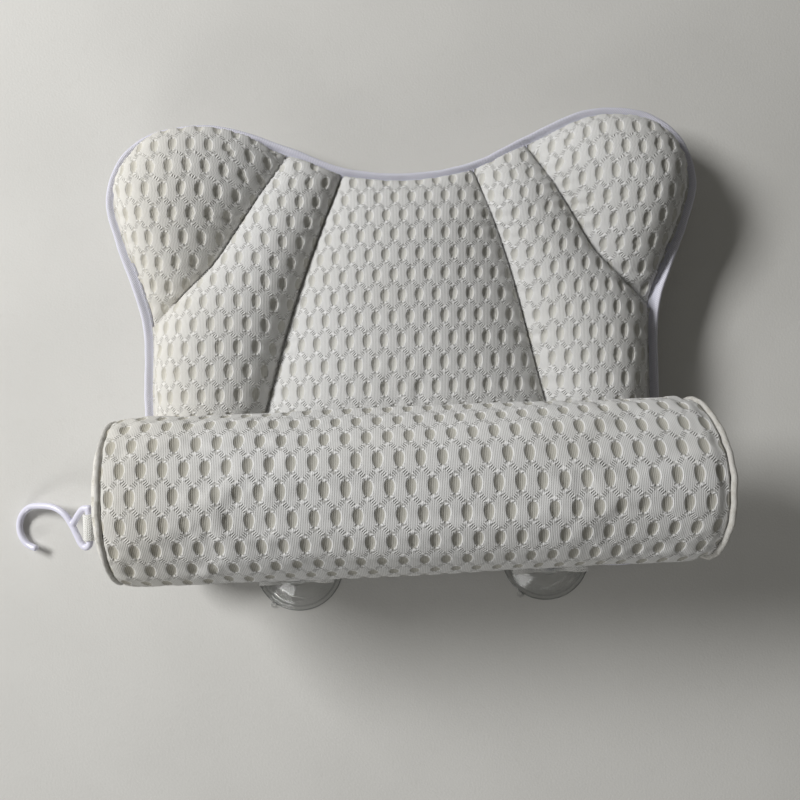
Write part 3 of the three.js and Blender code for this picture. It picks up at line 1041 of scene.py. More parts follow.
def alone(piece: Piece) -> Piece:
    """Deselects everything else and makes a piece the active one."""
    deselect()
    piece.select_set(True)
    bpy.context.view_layer.objects.active = piece
    return piece


def fused(pieces: list[Piece]) -> Piece:
    """Joins pieces into the first of them, which is the active one then."""
    deselect()
    for piece in pieces:
        piece.select_set(True)
    bpy.context.view_layer.objects.active = pieces[0]
    bpy.ops.object.join()
    return alone(bpy.context.object)


def named(name: str) -> Piece:
    """Names the primitive that was just added and takes it into edit mode."""
    piece = bpy.context.object
    piece.name = piece.data.name = name
    bpy.ops.object.mode_set(mode="EDIT")
    return piece


def turned_form(name: str, profile: list[Place], segments: int) -> Piece:
    """Turns a profile about +Z by drawing one ring out and in along it, closed at both ends.

    Args:
        name: Name of the piece.
        profile: Radius and height of each ring.
        segments: Points of a ring.

    Returns:
        Closed piece in object mode, with doubles merged and normals out.
    """
    deselect()
    bpy.ops.mesh.primitive_circle_add(vertices=segments, radius=profile[0][0] * MM, fill_type="NGON")
    piece = named(name)
    bpy.ops.mesh.select_all(action="SELECT")
    bpy.ops.transform.translate(value=(0, 0, profile[0][1] * MM))
    bpy.ops.mesh.select_mode(type="FACE")
    for (radius, height), (wider, higher) in pairwise(profile):
        bpy.ops.mesh.extrude_region_move(TRANSFORM_OT_translate={"value": (0, 0, (higher - height) * MM)})
        share = wider / radius
        bpy.ops.transform.resize(value=(share, share, 1), center_override=(0, 0, higher * MM))
    bpy.ops.mesh.select_all(action="SELECT")
    bpy.ops.mesh.remove_doubles(threshold=1e-6)
    bpy.ops.mesh.normals_make_consistent(inside=False)
    bpy.ops.object.mode_set(mode="OBJECT")
    return piece


def ribbon(name: str, path: list[Place], width: float, thickness: float) -> Piece:
    """Draws an edge along a path, gives the strip its thickness either side and rounds its edges.

    Args:
        name: Name of the piece.
        path: Places [along, height] of the strip's middle, in the X-Z plane.
        width: Width of the strip, along Y.
        thickness: Thickness of the strip.

    Returns:
        Strip in object mode.
    """
    deselect()
    bpy.ops.mesh.primitive_plane_add(size=1)
    piece = named(name)
    bpy.ops.mesh.select_mode(type="VERT")
    for vertex in bmesh.from_edit_mesh(piece.data).verts:
        vertex.select_set(vertex.co.x > 0)
    bpy.ops.mesh.delete(type="VERT")
    bpy.ops.mesh.select_all(action="SELECT")
    start = Vector((path[0][0] * MM, 0, path[0][1] * MM))
    bpy.ops.transform.resize(value=(1, width * MM, 1), center_override=(0, 0, 0))
    bpy.ops.transform.translate(value=start + Vector((0.5, 0, 0)))
    for (x, z), (further, higher) in pairwise(path):
        bpy.ops.mesh.extrude_edges_move(
            TRANSFORM_OT_translate={"value": ((further - x) * MM, 0, (higher - z) * MM)}
        )
    bpy.ops.object.mode_set(mode="OBJECT")
    alone(piece)
    solid = piece.modifiers.new("Solidify", "SOLIDIFY")
    solid.thickness, solid.offset = thickness * MM, 0.0
    bpy.ops.object.modifier_apply(modifier=solid.name)
    bevel = piece.modifiers.new("Bevel", "BEVEL")
    bevel.width, bevel.segments, bevel.limit_method = 0.25 * MM, 2, "ANGLE"
    bpy.ops.object.modifier_apply(modifier=bevel.name)
    return piece


def combine(piece: Piece, other: Piece, operation: str) -> None:
    """Joins or cuts a piece with another, which is used up.

    Args:
        piece: Piece that stays.
        other: Piece that is joined or cut away.
        operation: UNION or DIFFERENCE.
    """
    alone(piece)
    boolean = piece.modifiers.new("Boolean", "BOOLEAN")
    boolean.object, boolean.operation, boolean.solver = other, operation, "EXACT"
    bpy.ops.object.modifier_apply(modifier=boolean.name)
    bpy.data.objects.remove(other)


def placed(piece: Piece, matrix: Matrix) -> Piece:
    """Moves a piece by its mesh and leaves its object at the origin."""
    piece.data.transform(piece.matrix_basis)
    piece.matrix_basis = Matrix.Identity(4)
    piece.data.transform(matrix)
    piece.data.update()
    return piece


def copied(piece: Piece, name: str, matrix: Matrix) -> Piece:
    """A copy with its own mesh, moved by a matrix."""
    made = bpy.data.objects.new(name, piece.data.copy())
    bpy.context.scene.collection.objects.link(made)
    made.data.name = name
    return placed(made, matrix)


class Stitcher:
    """Copies one modelled stitch along rows."""

    def __init__(self) -> None:
        """Models the stitch: a short thread, pinched at both ends."""
        length, radius = 2.3, 0.3
        deselect()
        bpy.ops.mesh.primitive_uv_sphere_add(segments=6, ring_count=5, radius=1)
        ball = bpy.context.object
        bpy.ops.object.mode_set(mode="EDIT")
        bpy.ops.mesh.select_all(action="SELECT")
        bpy.ops.transform.resize(value=(radius, radius, length / 2), center_override=(0, 0, 0))
        bpy.ops.object.mode_set(mode="OBJECT")
        self.points = np.array([v.co for v in ball.data.vertices], float)
        self.faces = [tuple(p.vertices) for p in ball.data.polygons]
        bpy.data.objects.remove(ball)

    def row(self, cloth: Cloth, middles: Array, along: Array, up: Array) -> None:
        """Adds one stitch at each place.

        Args:
            cloth: Piece that the stitches are added to.
            middles: Places of the stitches.
            along: Direction of each stitch, or one for all.
            up: Direction off the cloth at each stitch, or one for all.
        """
        along = unit(np.broadcast_to(along, middles.shape))
        side = unit(np.cross(up, along))
        over = np.cross(along, side)
        p = self.points
        for m, a, s, o in zip(middles, along, side, over):
            cloth.add(m + p[:, :1] * s + p[:, 1:2] * o + p[:, 2:] * a, self.faces)

    def lines(
        self, cloth: Cloth, ends: list[tuple[Place, Place]], middle: Place, level: float, up: float,
        step: float,
    ) -> None:
        """Adds straight rows of stitches on a level band.

        Args:
            cloth: Piece that the stitches are added to.
            ends: Start and end of each row, counted from a middle place.
            middle: That place.
            level: Height of the stitches.
            up: 1 on the band's upper face and -1 on its lower.
            step: Wanted distance between stitches.
        """
        for start, stop in np.array(ends):
            run = stop - start
            n = max(2, round(float(np.linalg.norm(run)) / step))
            at = start + run * ((np.arange(n) + 0.5) / n)[:, None] + np.array(middle)
            self.row(cloth, np.column_stack([at, np.full(n, level)]), [*run, 0.0], [0, 0, up])


def spaced(line: Array, step: float) -> tuple[Array, Array]:
    """Places every so far along a closed line, with the way there.

    Args:
        line: Points of the line.
        step: Wanted distance.

    Returns:
        Places and unit directions.
    """
    ring = np.vstack([line, line[:1]])
    length = np.concatenate([[0], np.linalg.norm(np.diff(ring, axis=0), axis=1).cumsum()])
    wanted = np.linspace(0, length[-1], int(length[-1] / step), endpoint=False)
    at = np.stack([np.interp(wanted, length, ring[:, i]) for i in range(line.shape[1])], 1)
    return at, unit(np.roll(at, -1, 0) - np.roll(at, 1, 0))


# The panel


@dataclass(frozen=True)
class Tilt:
    """How a chamber's fullness leans to one side of it."""

    share: float
    across: float
    up: float
    middle: float
    reach: float

    def fill(self, plan: Array) -> Array:
        """Factor on the fullness at each point of the plan, which takes either half of the pillow alike."""
        away = np.abs(plan[:, 0]) * self.across + plan[:, 1] * self.up - self.middle
        return 1 + self.share * np.clip(away / self.reach, -1, 1)


@dataclass
class Chamber:
    """One quilted chamber of the panel."""

    name: str
    loop: Array
    crown: float
    fullness: float
    tilt: Tilt


@dataclass
class PanelShape:
    """Outline, seams and padded height of the quilted panel."""

    half_width: float = 187.0
    height: float = 290.0
    half_waist: float = 163.0
    notch: float = 36.0
    wing: float = 128.0
    corner: float = 20.0
    centre_seam_top: float = 40.0
    centre_seam_base: float = 113.0
    wing_seam_top: float = 73.0
    land: float = 7.3
    cover_inset: float = 1.1
    foot: float = 23.3
    seam_level: float = 26.3
    seam_rise: float = 8.0
    wing_crown: float = 27.0
    side_crown: float = 26.5
    centre_crown: float = 29.8
    wing_tilt: Tilt = Tilt(0.24, 0.8, 0.6, 259.0, 37.0)
    left_side_tilt: Tilt = Tilt(-0.14, 1.0, 0.0, 122.0, 40.0)
    right_side_tilt: Tilt = Tilt(0.1, 1.0, 0.0, 122.0, 40.0)
    centre_tilt: Tilt = Tilt(0.0, 1.0, 0.0, 0.0, 1.0)
    lean_reach: float = 7.0
    lean_start: float = 100.0
    lean_length: float = 170.0
    sides_left: float = 3.7
    corner_left: float = 2.4
    hinge_y: float = 5.0
    hinge_z: float = 28.9
    flap_tilt: float = math.radians(12)
    flap_reach: float = 66.0
    flap_clearance: float = 1.3
    roll_radius: float = 46.5
    roll_lift: float = 47.4
    roll_clearance: float = 1.2
    steps: int = 8

    def __post_init__(self) -> None:
        """Works out the outline and the chambers."""
        top, hw, ww = self.height, self.half_width, self.half_waist
        flare = hw - ww
        side = top - self.wing - self.corner
        corner = self.corner * (1 - math.sqrt(0.5))
        half = [
            (0, top - self.notch), (self.centre_seam_top, top - self.notch * 0.86),
            (self.wing_seam_top, top - self.notch * 0.47), (hw * 0.6, top - self.notch * 0.05),
            (hw * 0.72, top), (hw * 0.85, top - self.wing * 0.04), (hw * 0.95, top - self.wing * 0.16),
            (hw, top - self.wing * 0.375), (ww + flare * 0.78, top - self.wing * 0.58),
            (ww + flare * 0.36, top - self.wing * 0.79), (ww + flare * 0.03, top - self.wing),
            (ww, top - self.wing - side * 0.33), (ww, top - self.wing - side * 0.72), (ww, self.corner),
            (ww - corner, corner), (ww - self.corner, 0), (self.centre_seam_base, 0),
            (self.centre_seam_base / 2, 0), (0, 0),
        ]
        knots = half + [(-x, y) for x, y in reversed(half[1:-1])]
        self.outline = smooth_curve(np.array(knots), self.steps, True)
        way = unit(np.roll(self.outline, -1, 0) - np.roll(self.outline, 1, 0))
        self.normal = np.stack([-way[:, 1], way[:, 0]], 1)
        mouth = self.outline_at(-self.land)
        marked = {"centre": 1, "wing": 2, "end": 10, "base": 16}
        mark = {name: knot * self.steps for name, knot in marked.items()}
        at = {name: mouth[i] for name, i in mark.items()}

        def seam(start: Array, end: Array, bows: list[Place]) -> Array:
            """Curve of a seam, with its bows as shares of the way across and up."""
            middle = [start + (end - start) * np.array(bow) for bow in bows]
            return smooth_curve(np.array([start, *middle, end]), self.steps, False)

        wing = seam(at["wing"], at["end"], [(0.17, 0.2), (0.35, 0.42), (0.54, 0.65), (0.76, 0.82)])
        centre = seam(at["centre"], at["base"], [(0.33, 0.27), (0.64, 0.6)])
        flip = np.array([-1.0, 1.0])
        self.mouth = mouth
        self.seams = [wing, centre, wing * flip, centre * flip]
        wing_loop = np.vstack([mouth[mark["wing"] : mark["end"]], wing[:0:-1]])
        side_loop = np.vstack([
            mouth[mark["centre"] : mark["wing"]], wing[:-1],
            mouth[mark["end"] : mark["base"]], centre[:0:-1],
        ])
        mirrored = (len(mouth) - mark["centre"]) % len(mouth)
        base_end = len(mouth) - mark["base"]
        centre_loop = np.vstack([
            mouth[mirrored:], mouth[: mark["centre"]], centre[:-1],
            mouth[mark["base"] : base_end], (centre * flip)[:0:-1],
        ])
        self.chambers = [
            Chamber("left_wing", wing_loop * flip, self.wing_crown, 0.6, self.wing_tilt),
            Chamber("left_side", side_loop * flip, self.side_crown, 0.58, self.left_side_tilt),
            Chamber("centre", centre_loop, self.centre_crown, 0.58, self.centre_tilt),
            Chamber("right_side", side_loop, self.side_crown, 0.56, self.right_side_tilt),
            Chamber("right_wing", wing_loop, self.wing_crown, 0.6, self.wing_tilt),
        ]

    def outline_at(self, distance: float | Array) -> Array:
        """The outline moved out by a distance."""
        return self.outline + self.normal * (distance if np.isscalar(distance) else distance[:, None])

    def leaned(self, points: Array) -> Array:
        """The points with the panel pushed out of square, as it lies in the photograph.

        Args:
            points: Points in the panel's own frame.

        Returns:
            Upper part pushed to the right, both sides and the left wing's corner to the left.
        """
        x, y = points[:, 0], points[:, 1]
        moved = points.copy()
        moved[:, 0] += self.lean_reach * smoothstep(0, self.lean_length, y - self.lean_start)
        moved[:, 0] -= self.sides_left * smoothstep(60, 150, np.abs(x))
        moved[:, 0] -= self.corner_left * smoothstep(-135, -170, x) * smoothstep(220, 260, y)
        return moved

    def ceiling(self, y: Array) -> Array:
        """Height that the flap, and past it the roll, leave free over the panel."""
        rise, run = math.sin(self.flap_tilt), math.cos(self.flap_tilt)
        flap = self.hinge_z + (y - self.hinge_y) * math.tan(self.flap_tilt) - self.flap_clearance
        axis_y = self.hinge_y + self.flap_reach * run - self.roll_lift * rise
        axis_z = self.hinge_z + self.flap_reach * rise + self.roll_lift * run
        clear = self.roll_radius + self.roll_clearance
        roll = axis_z - clear * np.sqrt(1 - np.clip(np.abs(y - axis_y) / clear, 0, 1) ** 2)
        past = self.hinge_y + self.flap_reach * run + 1
        return np.where(y > past, np.minimum(roll, flap + 0.12 * (y - past)), flap)


class PanelGrid:
    """A grid over the panel whose points are drawn onto its seams, with the padded height at each."""

    def __init__(self, shape: PanelShape, spacing: float) -> None:
        """Lays the grid.

        Args:
            shape: Panel's shape.
            spacing: Distance between grid points in millimetres.
        """
        self.shape, self.spacing = shape, spacing
        aside, below, above = (math.ceil(reach / spacing) for reach in (190, 2, 292))
        self.columns = np.arange(-aside, aside + 1) * spacing
        self.rows = np.arange(-below, above + 1) * spacing
        x, y = np.meshgrid(self.columns, self.rows)
        self.size = x.shape
        flat = np.stack([x.ravel(), y.ravel()], 1)
        distance, foot = nearest(flat, shape.mouth, True)
        self.from_mouth = distance.copy()
        for seam in shape.seams:
            d, f = nearest(flat, seam, False)
            closer = d < distance
            distance[closer], foot[closer] = d[closer], f[closer]
        self.on_seam = distance < 0.52 * spacing
        self.plan = np.where(self.on_seam[:, None], foot, flat)
        self.distance = np.where(self.on_seam, 0, distance)
        self.chamber = np.full(len(flat), -1)
        for i, chamber in enumerate(shape.chambers):
            self.chamber[inside(flat, chamber.loop) & ~self.on_seam] = i

    def blown(self) -> Array:
        """Height of an evenly blown-up skin over the seams of each chamber, from 0 to 1."""
        chamber, distance = self.chamber.reshape(self.size), self.distance.reshape(self.size)
        filled = chamber >= 0
        same = {
            step: (np.roll(chamber, step, (0, 1)) == chamber) & filled
            for step in ((0, 1), (0, -1), (1, 0), (-1, 0))
        }
        skin = np.minimum(distance, 40.0) * 20 * filled
        load = self.spacing**2 * filled
        rounds = int(9000 / self.spacing**2)
        for _ in range(rounds):
            total = load.copy()
            for step, mask in same.items():
                total += np.roll(skin, step, (0, 1)) * mask
            skin = total / 4
        near = (distance < 2.6 * self.spacing) & filled
        slope = np.where(near, 0, skin / np.maximum(distance, 1e-3)) * filled
        known = (~near & filled).astype(float)
        for _ in range(5):
            total, weight = slope * known, known.copy()
            for step, mask in same.items():
                shifted = np.roll(known, step, (0, 1)) * mask
                total = total + np.roll(slope, step, (0, 1)) * shifted
                weight = weight + shifted
            fresh = near & (weight > 0) & (known == 0)
            slope = np.where(fresh, total / np.maximum(weight, 1), slope)
            known = np.maximum(known, fresh)
        skin = np.where(near, slope * distance, skin).ravel()
        made = np.zeros(len(skin))
        for i, form in enumerate(self.shape.chambers):
            mine = self.chamber == i
            full = skin[mine] ** form.fullness * form.tilt.fill(self.plan[mine])
            made[mine] = full / full.max() * form.crown
        return made

    def height(self) -> Array:
        """Level of the padded face, pressed down under the flap and the roll."""
        low = self.shape.seam_level
        limit = np.maximum(self.shape.ceiling(self.plan[:, 1]), low + 0.4)
        soft = 1.6
        rise = self.shape.seam_rise * smoothstep(0, 30, self.from_mouth)
        level = low + rise + self.blown() * (1 - rise / self.shape.side_crown)
        over = -soft * np.log(np.exp(-level / soft) + np.exp(-limit / soft))
        sewn = self.on_seam & (self.from_mouth > 1.2)
        return np.where((self.chamber >= 0) | sewn, np.maximum(over, low), low)


@dataclass
class Panel:
    """The quilted panel: covers, pads, binding and its stitches."""

    wardrobe: Wardrobe
    shape: PanelShape
    origin: Vector
    spacing: float = 1.12
    lining_spacing: float = 4.48
    back_spacing: float = 3.4
    pad_spacing: float = 3.0
    back_level: float = 21.05
    back_thickness: float = 1.75
    pad_gap: float = 4.2
    cover_thickness: float = 3.0
    relief_start: float = 1.2
    relief_full: float = 5.0
    overhang: float = 1.2
    top_overhang: float = 2.2
    notch_overhang: float = 1.6
    turned_edge: float = 3.3
    tape_stands: float = 2.8
    press_step: int = 4
    stitch_pitch: float = 3.1

    def _to_edge(self, grid: PanelGrid, inset: float) -> tuple[Array, Array, Array, list[int]]:
        """Grid cells inside a line along the outline, whose outer points are drawn onto it.

        Args:
            grid: Grid over the panel.
            inset: How far the line lies inside the outline.

        Returns:
            Plan of the grid's points, then the patch's points, quads and rim.
        """
        line = self.shape.outline_at(-inset)
        kept = inside(grid.plan, line)
        near = np.flatnonzero(kept & (grid.chamber < 0))
        distance, _ = nearest(grid.plan[near], line, True)
        kept[near[distance < 0.45 * grid.spacing]] = False
        used, quads, rim = patch(kept.reshape(grid.size))
        plan, edge = grid.plan.copy(), used[rim]
        _, plan[edge] = nearest(plan[edge], line, True)
        return plan, used, quads, rim

    def _cloth_places(self, grid: PanelGrid, level: Array, bulge: Array) -> Array:
        """Place of each grid point on the cloth, which is longer where it climbs and tighter in the middle.

        Args:
            grid: Grid over the panel.
            level: Height of its points.
            bulge: Movement of its points in the plane.

        Returns:
            Places along the weft and down the warp.
        """
        g = grid.spacing
        z = level.reshape(grid.size)
        x, y = np.meshgrid(grid.columns, grid.rows)
        aside, along = (bulge[:, i].reshape(grid.size) for i in (0, 1))
        steepest, taken_up = 1.1, 0.85
        climb_x = np.clip(np.abs(np.diff(z, axis=1)) / g, 0, steepest)
        climb_y = np.clip(np.abs(np.diff(z, axis=0)) / g, 0, steepest)
        step_u = g * np.hypot(1 + np.diff(aside, axis=1) / g, taken_up * climb_x)
        tight = 0.93 + 0.15 * smoothstep(125, 195, y) * (1 - smoothstep(70, 130, np.abs(x)))
        step_v = g * np.hypot(1 + np.diff(along, axis=0) / g, taken_up * climb_y) * tight[:-1]
        u = np.concatenate([np.zeros((grid.size[0], 1)), step_u.cumsum(1)], 1)
        middle = int(np.abs(grid.columns).argmin())
        u -= u[:, middle : middle + 1]
        v = np.concatenate([np.zeros((1, grid.size[1])), step_v.cumsum(0)], 0)
        start = int(np.abs(grid.rows - 113).argmin())
        v -= v[start : start + 1, :]
        return np.stack([u.ravel() + 3.1, 4.0 - v.ravel()], 1)

    def front_cover(self) -> Piece:
        """Sews the quilted front cover, a closed shell over the pads."""
        shape, grid = self.shape, PanelGrid(self.shape, self.spacing)
        level = grid.height()
        moved = self._simulated(grid, level)
        bulge = self._bulge(grid)
        places = self._cloth_places(grid, level, bulge)
        plan, used, quads, rim = self._to_edge(grid, shape.cover_inset)
        points = np.column_stack([plan, level]) + moved
        z = points[:, 2].reshape(grid.size)
        slope_y, slope_x = np.gradient(z, grid.spacing)
        normal = unit(np.stack([-slope_x.ravel(), -slope_y.ravel(), np.full(z.size, 1.0)], 1))
        fade = smoothstep(self.relief_start, self.relief_full, grid.distance) * (grid.chamber >= 0)
        relief = self.wardrobe.air_mesh.relief(places[:, 0], places[:, 1])
        fold = smoothstep(0, 2.5, grid.distance) * smoothstep(16, 4, grid.distance)
        pucker = waves(places[:, 1] / 400, 5, 30, 60) * 0.5 * fold * (grid.chamber >= 0)
        points += normal * (relief * fade + pucker)[:, None]
        points[:, 2] = np.maximum(points[:, 2], shape.seam_level)
        points[:, :2] += bulge
        cloth = Cloth()
        cloth.add(shape.leaned(points[used]), quads, places[used])
        inner = self._lining(cloth)
        cloth.faces += zip_loops(rim, inner, np.vstack(cloth.points)[:, :2])
        made = cloth.sew("front_cover_cloth", self.origin)
        return self.wardrobe.dress(made, Slot.AIR_MESH, Body.PANEL.value, ("front_cover",))

    def _bulge(self, grid: PanelGrid) -> Array:
        """How far the padded face bulges out over the tape, most where the left wing's edge is turned down.

        Args:
            grid: Grid over the panel.

        Returns:
            Movement of each grid point in the plane.
        """
        near = np.flatnonzero((grid.chamber >= 0) & (grid.distance < 26))
        plan = grid.plan[near]
        distance, foot = nearest(plan, self.shape.mouth, True)
        x, y = foot.T
        reach = self.overhang + self.top_overhang * smoothstep(240, 252, y)
        reach += self.notch_overhang * smoothstep(95, 60, np.abs(x)) * smoothstep(225, 245, y)
        turned = self.turned_edge * smoothstep(258, 272, y) * smoothstep(-168, -150, x)
        reach += turned * smoothstep(-78, -100, x)
        reach *= smoothstep(110, 118, y) * smoothstep(0, 3.2, distance) * smoothstep(24, 5, distance)
        moved = np.zeros((len(grid.plan), 2))
        moved[near] = (foot - plan) / np.maximum(distance, 1e-6)[:, None] * reach[:, None]
        return moved

    def _lining(self, cloth: Cloth) -> list[int]:
        """Adds the inside of the front cover, a coarser skin that follows its outside.

        Args:
            cloth: Piece that it is added to.

        Returns:
            Its rim, which runs the way the outside's rim does.
        """
        grid = PanelGrid(self.shape, self.lining_spacing)
        level = grid.height()
        plan, used, quads, rim = self._to_edge(grid, self.shape.cover_inset + 0.4)
        inner = np.where(grid.distance > 3, level - self.cover_thickness, self.shape.foot)
        inner = np.where(grid.chamber >= 0, np.maximum(inner, self.shape.foot), self.shape.foot)
        first = cloth.add(self.shape.leaned(np.column_stack([plan, inner])[used]), quads[:, ::-1])
        return [i + first for i in rim]

    def _simulated(self, grid: PanelGrid, level: Array) -> Array:
        """How far cloth under pressure moves each point of a grid, from a coarser copy of it.

        Args:
            grid: Grid over the panel.
            level: Height of its points.

        Returns:
            Movement of each grid point in millimetres.
        """
        step = self.press_step
        chosen = np.arange(len(level)).reshape(grid.size)[::step, ::step].ravel()
        x, y = np.meshgrid(grid.columns[::step], grid.rows[::step])
        held = (grid.distance[chosen] < 0.75 * step * grid.spacing) | (grid.chamber[chosen] < 0)
        raised = np.where(held, self.shape.seam_level, level[chosen])
        coarse = np.column_stack([x.ravel(), y.ravel(), raised])
        kept = inside(coarse[:, :2], self.shape.outline_at(6.0))
        used, quads, _ = patch(kept.reshape(x.shape))
        moved = np.zeros((len(coarse), 3))
        moved[used] = Press(cap=3.5).moved("panel_press", coarse[used], quads, held[used])
        moved[held] = 0
        log.info("panel cloth moved up to %.1f mm", np.linalg.norm(moved, axis=1).max())
        rows, columns = np.arange(grid.size[0]) / step, np.arange(grid.size[1]) / step
        fine = np.stack([sampled(m.reshape(x.shape), rows, columns).ravel() for m in moved.T], 1)
        free = smoothstep(0.5, 6.0, grid.distance) * (grid.chamber >= 0)
        free *= smoothstep(80, 105, grid.plan[:, 1])
        return fine * free[:, None]

    def back_cover(self) -> Piece:
        """Sews the back cover, drawn up a little where the quilting goes through it."""
        shape, grid = self.shape, PanelGrid(self.shape, self.back_spacing)
        plan, used, quads, rim = self._to_edge(grid, shape.cover_inset)
        away = grid.distance
        drawn = 0.7 * np.exp(-((away / 4.5) ** 2)) * (smoothstep(0, 9, away) * 0.3 + 0.7)
        soft = 0.18 * waves(plan[:, 0] / 400, 11, 3, 9) * waves(plan[:, 1] / 400, 12, 3, 9)
        low = self.back_level + np.clip(drawn + np.abs(soft), 0, 1.0) * (grid.chamber >= 0)
        cloth = Cloth()
        under = shape.leaned(np.column_stack([plan, low])[used])
        cloth.add(under, quads[:, ::-1])
        second = cloth.add(under + np.array([0, 0, self.back_thickness]), quads)
        cloth.faces += joined(rim, [i + second for i in rim])
        made = cloth.sew("back_cover_cloth", self.origin)
        area = 0.5 * abs(float(np.cross(shape.outline, np.roll(shape.outline, -1, 0)).sum())) * MM**2
        return self.wardrobe.dress(made, Slot.BACK_CLOTH, Body.PANEL.value, ("back_cover",))

    def binding(self) -> Piece:
        """Folds the binding tape round the panel's edge, a little uneven as sewn by hand."""
        step = 2.0
        line, way = spaced(self.shape.outline, step)
        normal = np.stack([-way[:, 1], way[:, 0]], 1)
        share = np.arange(len(line)) / len(line)
        wobble, sway = waves(share, 21, 30, 90) * 0.3, waves(share, 22, 20, 120) * 0.35
        fold = [
            (-7.0, 26.7, 1.0), (-6.2, 26.7, 1.0), (-4.9, 27.05, 0.8), (-3.8, 27.65, 0.4), (-2.8, 28.35, 0.1),
            (-1.9, 28.7, 0.0), (-1.0, 28.4, 0.0), (-0.3, 27.3, 0.0), (0.0, 24.6, 0.0), (0.0, 22.6, 0.0),
            (-0.4, 21.0, 0.0), (-1.3, 20.1, 0.0), (-2.6, 19.9, 0.0), (-5.0, 20.0, 0.5), (-7.0, 19.95, 1.0),
            (-7.0, 20.75, 1.0), (-1.0, 20.85, 0.0), (-0.85, 26.3, 0.0), (-7.0, 26.35, 1.0),
        ]
        rings, places, run, count = [], [], 0.0, len(line)
        along = np.abs(np.arange(count) - count / 2) * step
        stands = self.tape_stands * smoothstep(140, 160, line[:, 0]) * smoothstep(225, 180, line[:, 1])
        for i, (out, level, loose) in enumerate(fold):
            offset = out + wobble * (1 - loose) * 0.6 + sway * loose
            lift = stands * (level > 26.8) * float(np.interp(out, [-6.0, -2.0], [0.0, 1.0]))
            ring = np.column_stack([line + normal * offset[:, None], level + 0.12 * wobble * loose + lift])
            rings.append(ring)
            if i:
                run += math.dist(fold[i][:2], fold[i - 1][:2])
            places.append(np.column_stack([along, np.full(count, run)]))
        cloth = Cloth()
        number = np.arange(count * len(fold)).reshape(-1, count)
        corners = [np.roll(number, back, (0, 1)) for back in ((0, 0), (0, -1), (-1, -1), (-1, 0))]
        faces = np.stack(corners, -1).reshape(-1, 4)
        cloth.add(self.shape.leaned(np.vstack(rings)), faces, np.vstack(places))
        made = cloth.sew("edge_binding_tape", self.origin)
        return self.wardrobe.dress(made, Slot.TAPE, Body.PANEL.value, ("edge_binding",))

    def stitches(self, stitcher: Stitcher) -> Piece:
        """Sews the tape's two visible rows of stitches."""
        cloth = Cloth()
        for inset, level, up in ((-5.9, 27.05, 1.0), (-5.9, 19.95, -1.0)):
            line, way = spaced(self.shape.outline_at(inset), self.stitch_pitch)
            middles = self.shape.leaned(np.column_stack([line, np.full(len(line), level)]))
            slant = np.column_stack([way, np.full(len(way), 0.06 * up)])
            stitcher.row(cloth, middles, slant, [0, 0, up])
        made = cloth.sew("edge_binding_stitches", self.origin)
        return self.wardrobe.dress(made, Slot.TAPE, Body.PANEL.value, finish=self.wardrobe.thread)

    def pads(self) -> list[Piece]:
        """Cuts the foam pad of each chamber, a closed crowned form under the cover."""
        shape, grid = self.shape, PanelGrid(self.shape, self.pad_spacing)
        level = grid.height()
        made = []
        for i, chamber in enumerate(shape.chambers):
            away = np.where(grid.chamber == i, grid.distance, 0)
            used, quads, rim = patch((away > self.pad_gap).reshape(grid.size))
            drop = self.cover_thickness + 0.9 + 2.0 * smoothstep(12, 4, away)
            top = np.maximum(level - drop, shape.foot + 1.2)
            over = shape.leaned(np.column_stack([grid.plan, top])[used])
            middle = (shape.foot + over[:, 2]) / 2
            under = np.column_stack([over[:, :2], np.full(len(over), shape.foot + 0.1)])
            cloth = Cloth()
            cloth.add(over, quads)
            second = cloth.add(under, quads[:, ::-1])
            belly = over[rim].copy()
            belly[:, 2] = middle[rim]
            belly[:, :2] += (belly[:, :2] - belly[:, :2].mean(0)) * 0.008
            third = cloth.add(belly, [])
            belt = list(range(third, third + len(rim)))
            cloth.faces += joined(rim, belt) + joined(belt, [k + second for k in rim])
            pad = cloth.sew(f"{chamber.name}_foam_pad", self.origin)
            made.append(self.wardrobe.dress(pad, Slot.FOAM, Body.PANEL.value, (f"{chamber.name}_pad",)))
        return made

    def build(self, stitcher: Stitcher) -> None:
        """Makes all the panel's pieces."""
        self.binding()
        self.back_cover()
        self.stitches(stitcher)
        self.front_cover()
        self.pads()


# The neck roll


